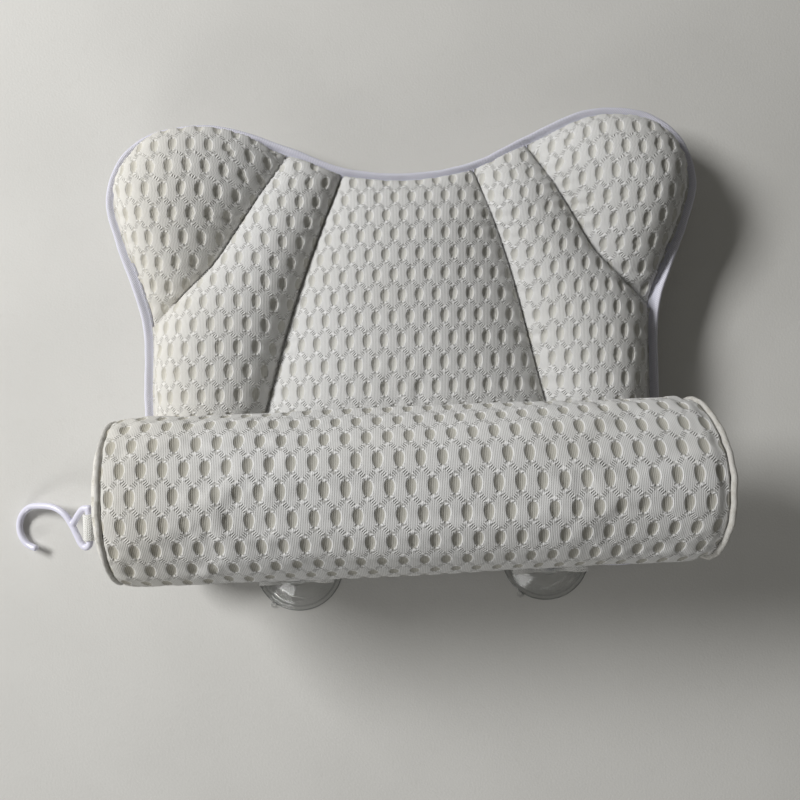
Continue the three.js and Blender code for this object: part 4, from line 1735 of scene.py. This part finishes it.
@dataclass
class NeckRoll:
    """The neck roll on its flap: cover, foam core, end discs, pipings and the flap."""

    wardrobe: Wardrobe
    shape: PanelShape
    origin: Vector
    half: float = 160.0
    radius: float = 46.5
    end_radius: float = 44.5
    wall: float = 3.0
    end_gap: float = 0.3
    disc_radius: float = 42.6
    disc_thickness: float = 2.1
    left_bulge: float = 8.0
    right_bulge: float = 4.5
    left_in: float = 1.6
    cord_radius: float = 1.9
    cord_ring: float = 43.6
    left_groove: float = 0.2
    right_groove: float = 1.5
    flap_half: float = 146.0
    flap_thickness: float = 1.2
    around: int = 264
    along: int = 290

    def _placed(self, points: Array) -> Array:
        """Points of the flap's frame, brought into the panel's own frame."""
        turn, s = math.cos(self.shape.flap_tilt), math.sin(self.shape.flap_tilt)
        x, y, z = points.T
        up = self.shape.hinge_z + y * s + z * turn
        return np.column_stack([x, self.shape.hinge_y + y * turn - z * s, up])

    @staticmethod
    def _rings(x: Array, sides: int) -> list[Array]:
        """Place along the roll and angle of each point of rings at some places."""
        return np.meshgrid(x, np.linspace(-np.pi, np.pi, sides, endpoint=False), indexing="ij")

    def _round(self, along: Array, angle: Array, radius: Array) -> Array:
        """Points round the roll's axis; at its sides the left end stands out and the right is drawn in.

        Args:
            along: Places along the roll.
            angle: Angles, from the top towards the pillow's base edge.
            radius: Distances from the axis.

        Returns:
            Points in the panel's own frame.
        """
        along, angle, radius = (np.ravel(v) for v in np.broadcast_arrays(along, angle, radius))
        lean = angle - self.shape.flap_tilt
        aside, far = np.sin(angle), smoothstep(70, 158, np.abs(along)) * (radius / self.radius) ** 2
        left = self.left_in * smoothstep(-70, -158, along) - far * aside**2 * np.where(aside < 0, 4.3, 1.2)
        right = far * (1.8 * np.maximum(np.cos(angle), 0) ** 2 - aside**2 * np.where(aside < 0, 4.0, 1.0))
        along = along + np.where(along < 0, left, right)
        y = self.shape.flap_reach - radius * np.sin(lean)
        z = self.shape.roll_lift + radius * np.cos(lean)
        return self._placed(np.column_stack([along, y, z]))

    def _fullness(self, along: Array) -> Array:
        """Radius of the cover, full in the middle and drawn in at the end seams."""
        share = np.clip(np.abs(along) / self.half, 0, 1)
        return self.end_radius + (self.radius - self.end_radius) * np.sqrt(1 - share**14)

    def _swell(self, along: Array, angle: Array) -> Array:
        """How far cloth under pressure moves out along the roll, from a coarser copy of it.

        Args:
            along: Places of the fine rings.
            angle: Angles of the fine rings' points.

        Returns:
            Movement outwards at each ring and angle.
        """
        rings, sides = 65, 60
        x = np.linspace(-self.half, self.half, rings)
        xx, aa = self._rings(x, sides)
        radius = self._fullness(xx)
        points = np.stack([xx, -radius * np.sin(aa), radius * np.cos(aa)], -1).reshape(-1, 3)
        _, quads = tube(rings, sides)
        held = np.zeros((rings, sides), bool)
        held[[0, -1]] = True
        held[:, 0] = True
        moved = Press(cap=2.0, pressure=2.0, growth=0.004).moved("roll_press", points, quads, held.ravel())
        outward = np.stack([0 * aa, -np.sin(aa), np.cos(aa)], -1).reshape(-1, 3)
        out = (moved * outward).sum(1).reshape(rings, sides)
        out -= np.median(out[8:-8])
        log.info("roll cloth moved from %.1f to %.1f mm", out.min(), out.max())
        out = np.clip(out, -0.7, 0.7)
        wide = np.concatenate([out[:, -2:], out, out[:, :3]], 1)
        column = (angle + np.pi) / math.tau * sides + 2
        return sampled(wide, np.interp(along, x, np.arange(rings)), column)

    def cover(self) -> Piece:
        """Sews the roll's cover, a lined tube of air mesh that is open at both ends."""
        xx, aa = self._rings(np.linspace(-self.half, self.half, self.along), self.around)
        places = np.stack([xx + 0.4, aa * self.radius + 6.5], -1)
        end = self.half - np.abs(xx)
        fade = smoothstep(0.8, 3.5, end)
        base = self._fullness(xx) + self._swell(xx[:, 0], aa[0])
        turn = aa / math.tau % 1
        ruck = np.where(xx > 0, waves(turn, 31, 14, 40), waves(turn, 32, 14, 40)) * 0.6
        groove = 1.0 + 0.5 * np.where(xx > 0, waves(turn, 33, 5, 16), waves(turn, 34, 5, 16))
        depth = np.where(xx > 0, self.right_groove, self.left_groove)
        ruck = ruck * smoothstep(20, 1, end) - depth * groove * np.exp(-(((end - 2.5) / 3.2) ** 2))
        unround = 0.5 * np.cos(2 * aa + 0.6) * np.sin(xx / 70) + 0.35 * np.sin(xx / 41 + aa)
        relief = self.wardrobe.roll_mesh.relief(places[..., 0], places[..., 1])
        under = smoothstep(2.55, 2.95, np.abs(aa + self.shape.flap_tilt))
        radius = base + (ruck + unround) * (1 - under) + relief * fade * (1 - 0.6 * under)
        radius = np.minimum(radius, self.radius + 1.4 - 1.5 * under)
        number, faces = tube(*xx.shape)
        cloth = Cloth()
        cloth.add(self._round(xx, aa, radius), faces, places.reshape(-1, 2))
        lined = np.array([-1, -0.975, -0.9, -0.4, 0.4, 0.9, 0.975, 1]) * self.half
        xx, aa = self._rings(lined, self.around)
        lining, faces = tube(*xx.shape)
        inner = self._round(xx, aa, self._fullness(xx) - self.wall)
        first = cloth.add(inner, faces[:, ::-1], np.stack([xx.ravel(), aa.ravel() * self.radius], 1))
        for rim in (0, -1):
            cloth.faces += joined(number[rim].tolist(), (lining[rim] + first).tolist())
        made = cloth.sew("roll_cover_cloth", self.origin)
        finish = self.wardrobe.stretched
        return self.wardrobe.dress(made, Slot.AIR_MESH, Body.ROLL.value, ("roll_cover",), finish)

    def core(self) -> Piece:
        """Cuts the foam core inside the cover."""
        xx, aa = self._rings(np.linspace(-self.half + 0.2, self.half - 0.2, 40), 72)
        radius = self._fullness(xx) - self.wall - 0.5 - 1.2 * smoothstep(3, 0, self.half - np.abs(xx))
        cloth = Cloth()
        cloth.add(self._round(xx, aa, radius), capped(*tube(*xx.shape)))
        made = cloth.sew("roll_foam", self.origin)
        return self.wardrobe.dress(made, Slot.FOAM, Body.ROLL.value, ("roll_foam_core",))

    def end(self, side: Side) -> Piece:
        """Sews one end disc, a round of air mesh that the core bulges."""
        rim, foot, thick = self.disc_radius, self.half + self.end_gap, self.disc_thickness
        crown = self.left_bulge if side is Side.LEFT else self.right_bulge
        sides = 168
        ss, aa = self._rings(np.linspace(0.02, 1, 36), sides)
        flat = np.stack([ss * rim * np.sin(aa), ss * rim * np.cos(aa)], -1)
        ruck = waves(aa / math.tau % 1, 41 + side.value, 9, 24) * ss**6
        dome = crown * (1 - ss**5) ** 0.6 + 0.3 * ruck
        relief = self.wardrobe.air_mesh.relief(flat[..., 0], -flat[..., 1]) * smoothstep(1.0, 0.93, ss)
        out = foot + thick + dome + relief * 0.6 - 1.0 * smoothstep(0.95, 1.0, ss)
        number, faces = tube(*ss.shape)
        cloth = Cloth()
        cloth.add(self._round(out * side.value, aa, ss * rim), faces, flat.reshape(-1, 2))
        first = cloth.add(self._round(foot * side.value, aa[0], rim), [])
        back = list(range(first, first + sides))
        cloth.faces += [tuple(number[0].tolist()), tuple(back), *joined(number[-1].tolist(), back)]
        made = cloth.sew(f"{side.word}_roll_end_cloth", self.origin)
        return self.wardrobe.dress(made, Slot.AIR_MESH, Body.ROLL.value, (f"{side.word}_roll_end",))

    def piping(self, side: Side) -> Piece:
        """Makes one piping: a cloth-covered cord sewn in round the end, slightly rucked."""
        cord = self.cord_radius
        deselect()
        bpy.ops.mesh.primitive_torus_add(
            major_segments=320, minor_segments=14, major_radius=self.cord_ring * MM, minor_radius=cord * MM
        )
        ring = bpy.context.object
        points = np.array([v.co for v in ring.data.vertices], float) / MM
        faces = [tuple(p.vertices) for p in ring.data.polygons]
        bpy.data.objects.remove(ring)
        angle = np.arctan2(points[:, 0], points[:, 1])
        share = angle / math.tau % 1
        out = np.hypot(points[:, 0], points[:, 1]) - self.cord_ring
        rise = points[:, 2]
        ruck = 1 + 0.05 * waves(share, 51 + side.value, 20, 60)
        sway = 0.3 * waves(share, 55 + side.value, 6, 22)
        radius = self.cord_ring + out * ruck + sway * 0.6
        x = (self.half + self.end_gap + cord) * side.value + rise * ruck * 0.86 + sway
        places = np.column_stack([angle * self.end_radius, np.arctan2(rise, out) * cord])
        cloth = Cloth()
        cloth.add(self._round(x, angle, radius), faces, places)
        made = cloth.sew(f"{side.word}_roll_piping_cloth", self.origin)
        nodes = (f"{side.word}_roll_piping",)
        return self.wardrobe.dress(made, Slot.TAPE, Body.ROLL.value, nodes, self.wardrobe.piping)

    def flap(self) -> Piece:
        """Sews the flap from the hinge bead on the panel's tape to the underside of the roll."""
        half, thick, bead = self.flap_half, self.flap_thickness, 1.2
        start, stop = math.pi / 4, 7 * math.pi / 4
        section = [(bead * math.cos(t), bead * math.sin(t)) for t in np.linspace(start, stop, 9)]
        steps = np.linspace(bead * math.cos(stop) + 1.2, self.shape.flap_reach, 18)
        section += [(y, -thick / 2) for y in steps] + [(y, thick / 2) for y in steps[::-1]]
        x = np.linspace(-half, half, 118)
        sec = np.array(section)
        xx, kk = np.meshgrid(x, np.arange(len(sec)), indexing="ij")
        y, z = sec[kk, 0], sec[kk, 1]
        soft = smoothstep(4, 20, y) * smoothstep(66, 50, y)
        z = z + soft * 0.22 * waves((xx + half) / (2 * half) * 0.9, 61, 3, 14)
        cloth = Cloth()
        cloth.add(self._placed(np.stack([xx, y, z], -1).reshape(-1, 3)), capped(*tube(*xx.shape)))
        made = cloth.sew("roll_flap_cloth", self.origin)
        return self.wardrobe.dress(made, Slot.BACK_CLOTH, Body.ROLL.value, ("roll_flap",))

    def stitches(self, stitcher: Stitcher) -> Piece:
        """Sews the flap's row along the hinge and the row that holds it to the roll."""
        cloth = Cloth()
        x = np.arange(-143, 143.1, 3.4)
        for y, z, up in ((3.4, 0.62, 1.0), (3.4, -0.62, -1.0), (56.0, -0.62, -1.0), (60.0, -0.62, -1.0)):
            flat = np.column_stack([x, np.full(len(x), y), np.full(len(x), z)])
            normal = self._placed(np.array([[0, 0, up]])) - self._placed(np.zeros((1, 3)))
            stitcher.row(cloth, self._placed(flat), [1.0, 0, 0], normal)
        made = cloth.sew("roll_flap_stitches", self.origin)
        return self.wardrobe.dress(made, Slot.BACK_CLOTH, Body.ROLL.value, finish=self.wardrobe.thread)

    def build(self, stitcher: Stitcher) -> None:
        """Makes all the roll's pieces."""
        self.cover()
        self.core()
        self.flap()
        self.stitches(stitcher)
        for side in Side:
            self.end(side)
            self.piping(side)


# Cups and their tabs


@dataclass(frozen=True)
class CupPair:
    """Where a pair of suction cups sits."""

    name: str
    out: float
    up: float
    offset: float
    seat: float
    turn: float


@dataclass
class SuctionCups:
    """The six clear cups, each held by the buttonhole of a webbing tab."""

    wardrobe: Wardrobe
    origin: Vector
    pairs: tuple[CupPair, ...] = (
        CupPair("lower", 82.0, 2.0, 6.0, 19.6, 36.0),
        CupPair("middle", 112.0, 118.0, 0.0, 20.7, 0.0),
        CupPair("wing", 122.0, 218.0, 0.0, 20.7, 0.0),
    )
    tab_half: float = 24.0
    tab_width: float = 14.8
    tab_thickness: float = 1.2
    tab_gap: float = 0.3
    plate_middle: float = 14.4
    bore: float = 4.4

    def cup(self) -> Piece:
        """Turns one cup: hollow, sealing lip, cone, neck and head, with a pull ring at its rim."""
        profile = [
            (0.5, 8.0), (5.0, 7.9), (10.0, 7.3), (14.0, 6.2), (18.0, 4.4), (21.5, 2.3), (24.2, 0.75),
            (25.8, 0.0), (28.4, 0.0), (28.9, 0.3), (29.0, 0.8), (28.6, 1.25), (27.4, 1.5), (25.6, 2.2),
            (22.0, 4.9), (18.0, 7.4), (14.0, 9.5), (10.0, 11.2), (7.0, 12.3), (5.2, 13.0), (4.3, 13.5),
            (4.0, 14.2), (4.0, 15.1), (4.5, 15.35), (7.7, 15.9), (8.5, 16.3), (8.7, 16.9), (8.5, 17.6),
            (7.7, 18.1), (0.6, 18.28),
        ]
        body = turned_form("cup_form", profile, 112)
        deselect()
        bpy.ops.mesh.primitive_torus_add(
            major_segments=28, minor_segments=12, major_radius=1.55 * MM, minor_radius=0.62 * MM,
            location=(0, -30.1 * MM, 0.66 * MM),
        )
        combine(body, bpy.context.object, "UNION")
        alone(body)
        bpy.ops.object.shade_smooth_by_angle(angle=math.radians(38))
        layer = body.data.uv_layers.new(name="weave")
        for loop in body.data.loops:
            place = body.data.vertices[loop.vertex_index].co
            layer.data[loop.index].uv = (math.hypot(place.x, place.y), place.z)
        return body

    def tab(self, seat: float) -> Piece:
        """Makes one tab, raised in the middle off the cover, with a worked buttonhole.

        Args:
            seat: Level of what the tab's ends are sewn to.

        Returns:
            Tab along X about the origin.
        """
        half, drop = self.tab_half, seat - self.tab_gap - self.tab_thickness / 2 - self.tab_gap
        path = [(-half, drop), (-half + 7.0, drop), (-half + 8.6, drop - 0.5)]
        path += [(-half + 12.2, self.plate_middle + 0.5), (-half + 13.6, self.plate_middle)]
        path += [(-5.5, self.plate_middle), (5.5, self.plate_middle)]
        path += [(-x, z) for x, z in reversed(path[:5])]
        strip = ribbon("tab_form", path, self.tab_width, self.tab_thickness)
        deselect()
        bpy.ops.mesh.primitive_cylinder_add(
            vertices=48, radius=self.bore * MM, depth=8 * MM, location=(0, 0, self.plate_middle * MM)
        )
        combine(strip, bpy.context.object, "DIFFERENCE")
        alone(strip)
        bpy.ops.object.shade_smooth_by_angle(angle=math.radians(40))
        return placed(strip, Matrix.Identity(4))

    def tab_stitches(self, stitcher: Stitcher, name: str, middle: Array, seat: float) -> Piece:
        """Sews a tab: boxes of stitches at both ends and a ring of thread round the buttonhole.

        Args:
            stitcher: Makes the stitches.
            name: Name of the piece.
            middle: Middle of the tab in the panel's own frame.
            seat: Level of what the tab's ends are sewn to.

        Returns:
            Piece with all the tab's thread.
        """
        cloth = Cloth()
        low = seat - self.tab_gap - self.tab_thickness - self.tab_gap
        near, far, half = 18.4, 22.6, 6.2
        for end in (-1, 1):
            rows = [((end * near, y), (end * far, y)) for y in (-half, half)]
            rows += [((end * x, -half), (end * x, half)) for x in (near, far)]
            rows += [((end * near, -half), (end * far, half))]
            stitcher.lines(cloth, rows, middle, low, -1.0, 2.6)
        turn = np.linspace(0, 2 * np.pi, 30, endpoint=False)
        ring = np.stack([np.cos(turn), np.sin(turn)], 1)
        for level, up in ((self.plate_middle - 0.62, -1.0), (self.plate_middle + 0.62, 1.0)):
            at = np.column_stack([middle + ring * (self.bore + 1.3), np.full(30, level)])
            stitcher.row(cloth, at, np.column_stack([ring, np.zeros(30)]), [0, 0, up])
        made = cloth.sew(name, self.origin)
        return self.wardrobe.dress(made, Slot.WEBBING, Body.PANEL.value, finish=self.wardrobe.thread)

    def build(self, stitcher: Stitcher) -> None:
        """Makes and places the six cups and their tabs."""
        cup = self.cup()
        for pair in self.pairs:
            tab = self.tab(pair.seat)
            for side in Side:
                name = f"{side.word}_{pair.name}_cup"
                middle = np.array([pair.offset + pair.out * side.value, pair.up])
                move = Matrix.Translation(self.origin + Vector((*middle, 0)) * MM)
                turned = move @ Matrix.Rotation(math.radians(-pair.turn), 4, "Z")
                body = f"cup_{side.word}_{pair.name}"
                self.wardrobe.dress(copied(cup, f"{name}_clear", turned), Slot.VINYL, body, (name,))
                strip = copied(tab, f"{name}_webbing", move)
                self.wardrobe.dress(strip, Slot.WEBBING, Body.PANEL.value, (f"{name}_tab",))
                self.tab_stitches(stitcher, f"{name}_tab_stitches", middle, pair.seat)
            bpy.data.objects.remove(tab)
        bpy.data.objects.remove(cup)


# Strap and hook


@dataclass
class HookAndStrap:
    """The webbing strap at the left side and the hook whose bar swings in its end."""

    wardrobe: Wardrobe
    origin: Vector
    bar: Vector = field(default_factory=lambda: Vector((-208.0, 37.0, 18.4)))
    reach: float = 40.5
    throat: float = 14.0
    rod: float = 2.2
    strap_width: float = 17.0
    strap_thickness: float = 1.18
    loop: float = 3.15

    def strap(self) -> Piece:
        """Folds the webbing round the hook's bar, its two layers lying together."""
        loop = self.loop
        turn = np.linspace(math.radians(28), math.radians(332), 22)
        upper = [(59.0, 0.62), (44.0, 0.62), (30.0, 0.66), (18.0, 0.62), (9.0, 0.7), (5.4, 1.1)]
        path = upper + [(loop * math.cos(t), loop * math.sin(t)) for t in turn]
        path += [(x, -z) for x, z in reversed(upper)]
        strap = ribbon("hook_strap_webbing", path, self.strap_width, self.strap_thickness)
        alone(strap)
        bpy.ops.object.shade_smooth_by_angle(angle=math.radians(45))
        placed(strap, Matrix.Translation(self.origin + self.bar * MM))
        return self.wardrobe.dress(strap, Slot.WEBBING, Body.PANEL.value, ("hook_strap",))

    def strap_stitches(self, stitcher: Stitcher) -> Piece:
        """Sews the strap's rows: across beside the loop and round its sewn end."""
        cloth = Cloth()
        near, far, half = 47.0, 57.0, 7.0
        rows = [((x, -half), (x, half)) for x in (6.9, 9.4, near, far)]
        rows += [((near, y), (far, y)) for y in (-half, half)]
        rows += [((near, -y), (far, y)) for y in (-half, half)]
        for up in (1.0, -1.0):
            stitcher.lines(cloth, rows, tuple(self.bar.xy), self.bar.z + up * 1.24, up, 2.7)
        made = cloth.sew("hook_strap_stitches", self.origin)
        return self.wardrobe.dress(made, Slot.WEBBING, Body.PANEL.value, finish=self.wardrobe.thread)

    def hook(self) -> Piece:
        """Bends the hook's rod, joins the arm to it and melts the joint smooth."""
        rod = [
            (0, 0.87), (0, 0.5), (0, 0), (0, -0.5), (0, -0.7), (-0.02, -0.84), (-0.08, -0.93),
            (-0.16, -0.78), (-0.24, -0.36), (-0.32, 0.07), (-0.46, 0.6), (-0.66, 0.92),
        ]
        arm = [(0, 0.87), (-0.1, 0.85), (-0.19, 0.6), (-0.32, 0.07)]
        size, curl = (self.reach, self.throat), np.radians(np.linspace(85, 260, 8))
        tip = [(self.throat * math.cos(t) - self.reach, self.throat * math.sin(t)) for t in curl]
        main = self._rod(np.vstack([np.array(rod) * size, tip]))
        made = fused([main, self._rod(np.array(arm) * size)])
        made.name = made.data.name = "drying_hook_moulded"
        made.data.remesh_voxel_size = 0.38 * MM
        bpy.ops.object.voxel_remesh()
        smooth = made.modifiers.new("Smooth", "SMOOTH")
        smooth.factor, smooth.iterations = 0.5, 6
        bpy.ops.object.modifier_apply(modifier=smooth.name)
        bpy.ops.object.shade_smooth()
        drop = self.bar.z - self.rod - 0.3
        tilt = Matrix.Rotation(-math.asin(drop / (self.reach + self.throat)), 4, "Y")
        placed(made, Matrix.Translation(self.origin + self.bar * MM) @ tilt)
        return self.wardrobe.dress(made, Slot.PLASTIC, Body.HOOK.value, ("drying_hook",))

    def _rod(self, knots: Array) -> Piece:
        """A round rod along knots in the hook's plane, with rounded ends.

        Args:
            knots: Places that the rod's middle passes through.

        Returns:
            Closed mesh of the rod.
        """
        line, thick = smooth_curve(knots, 10, False), (self.rod - 0.05) * MM
        deselect()
        bpy.ops.curve.primitive_nurbs_path_add()
        curve = bpy.context.object
        curve.data.splines.clear()
        spline = curve.data.splines.new("POLY")
        spline.points.add(len(line) - 1)
        for point, (x, y) in zip(spline.points, line):
            point.co = (x * MM, y * MM, 0, 1)
        curve.data.bevel_depth, curve.data.bevel_resolution = thick, 8
        curve.data.use_fill_caps = True
        bpy.ops.object.convert(target="MESH")
        rod = bpy.context.object
        for x, y in (line[0], line[-1]):
            deselect()
            bpy.ops.mesh.primitive_uv_sphere_add(
                segments=24, ring_count=14, radius=thick, location=(x * MM, y * MM, 0)
            )
            rod = fused([rod, bpy.context.object])
        return rod

    def build(self, stitcher: Stitcher) -> None:
        """Makes the strap and the hook."""
        self.strap()
        self.strap_stitches(stitcher)
        self.hook()


# Table, lamps and camera


@dataclass(frozen=True)
class Window:
    """A soft light as wide as a window."""

    name: str
    place: tuple[float, float, float]
    width: float
    height: float
    power: float


@dataclass
class Studio:
    """The pale table, soft light from the left as from windows, and the camera straight above."""

    wardrobe: Wardrobe
    camera_place: tuple[float, float, float] = (0.03331, -0.02139, 0.560)
    camera_turn: float = math.radians(-2.5)
    lens: float = 37.8
    aim: tuple[float, float, float] = (0.03, 0.0, 0.03)
    windows: tuple[Window, ...] = (
        Window("window", (-1.37, 0.72, 1.12), 0.85, 0.42, 35.0),
        Window("far_window", (-1.0, -1.75, 0.90), 0.9, 0.5, 9.5),
    )
    room: float = 0.12

    def table(self) -> None:
        """Lays the table."""
        deselect()
        bpy.ops.mesh.primitive_plane_add(size=9.0)
        table = bpy.context.object
        table.name = "table_top"
        table.data.materials.append(self.wardrobe.table)

    def lamp(self, window: Window) -> None:
        """Hangs one window's light."""
        data = bpy.data.lights.new(window.name, "AREA")
        data.shape, data.size, data.size_y = "RECTANGLE", window.width, window.height
        data.energy = window.power
        data.color = (1.0, 0.996, 0.99)
        lamp = bpy.data.objects.new(window.name, data)
        bpy.context.scene.collection.objects.link(lamp)
        lamp.location = window.place
        lamp.rotation_euler = (Vector(self.aim) - lamp.location).to_track_quat("-Z", "Y").to_euler()
        lamp.visible_camera = False

    def light_room(self) -> None:
        """Sets the room's even light."""
        world = bpy.data.worlds.new("room")
        bpy.context.scene.world = world
        world.use_nodes = True
        background = world.node_tree.nodes["Background"]
        background.inputs["Color"].default_value = linear((230, 228, 221))
        background.inputs["Strength"].default_value = self.room

    def camera(self) -> None:
        """Sets the camera above the pillow, turned as the photograph is."""
        data = bpy.data.cameras.new("camera")
        data.lens, data.sensor_width = self.lens, 36.0
        camera = bpy.data.objects.new("camera", data)
        bpy.context.scene.collection.objects.link(camera)
        camera.location = self.camera_place
        camera.rotation_euler = Euler((0, 0, self.camera_turn))
        bpy.context.scene.camera = camera

    def build(self) -> None:
        """Sets the whole studio up."""
        self.table()
        for window in self.windows:
            self.lamp(window)
        self.light_room()
        self.camera()
        bpy.context.scene.view_settings.view_transform = "Standard"


def main() -> None:
    """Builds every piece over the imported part, then the studio."""
    logging.basicConfig(level=logging.INFO, format="%(message)s")
    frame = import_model()
    shape = PanelShape()
    hinge = next(j for j in frame["joints"] if j["name"] == "roll_fold")["pos_m"]
    origin = Vector((hinge[0], hinge[1] - shape.hinge_y * MM, 0))
    wardrobe = Wardrobe()
    stitcher = Stitcher()
    Studio(wardrobe).build()
    Panel(wardrobe, shape, origin).build(stitcher)
    NeckRoll(wardrobe, shape, origin).build(stitcher)
    SuctionCups(wardrobe, origin).build(stitcher)
    HookAndStrap(wardrobe, origin).build(stitcher)
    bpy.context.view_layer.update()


if __name__ == "__main__":
    main()
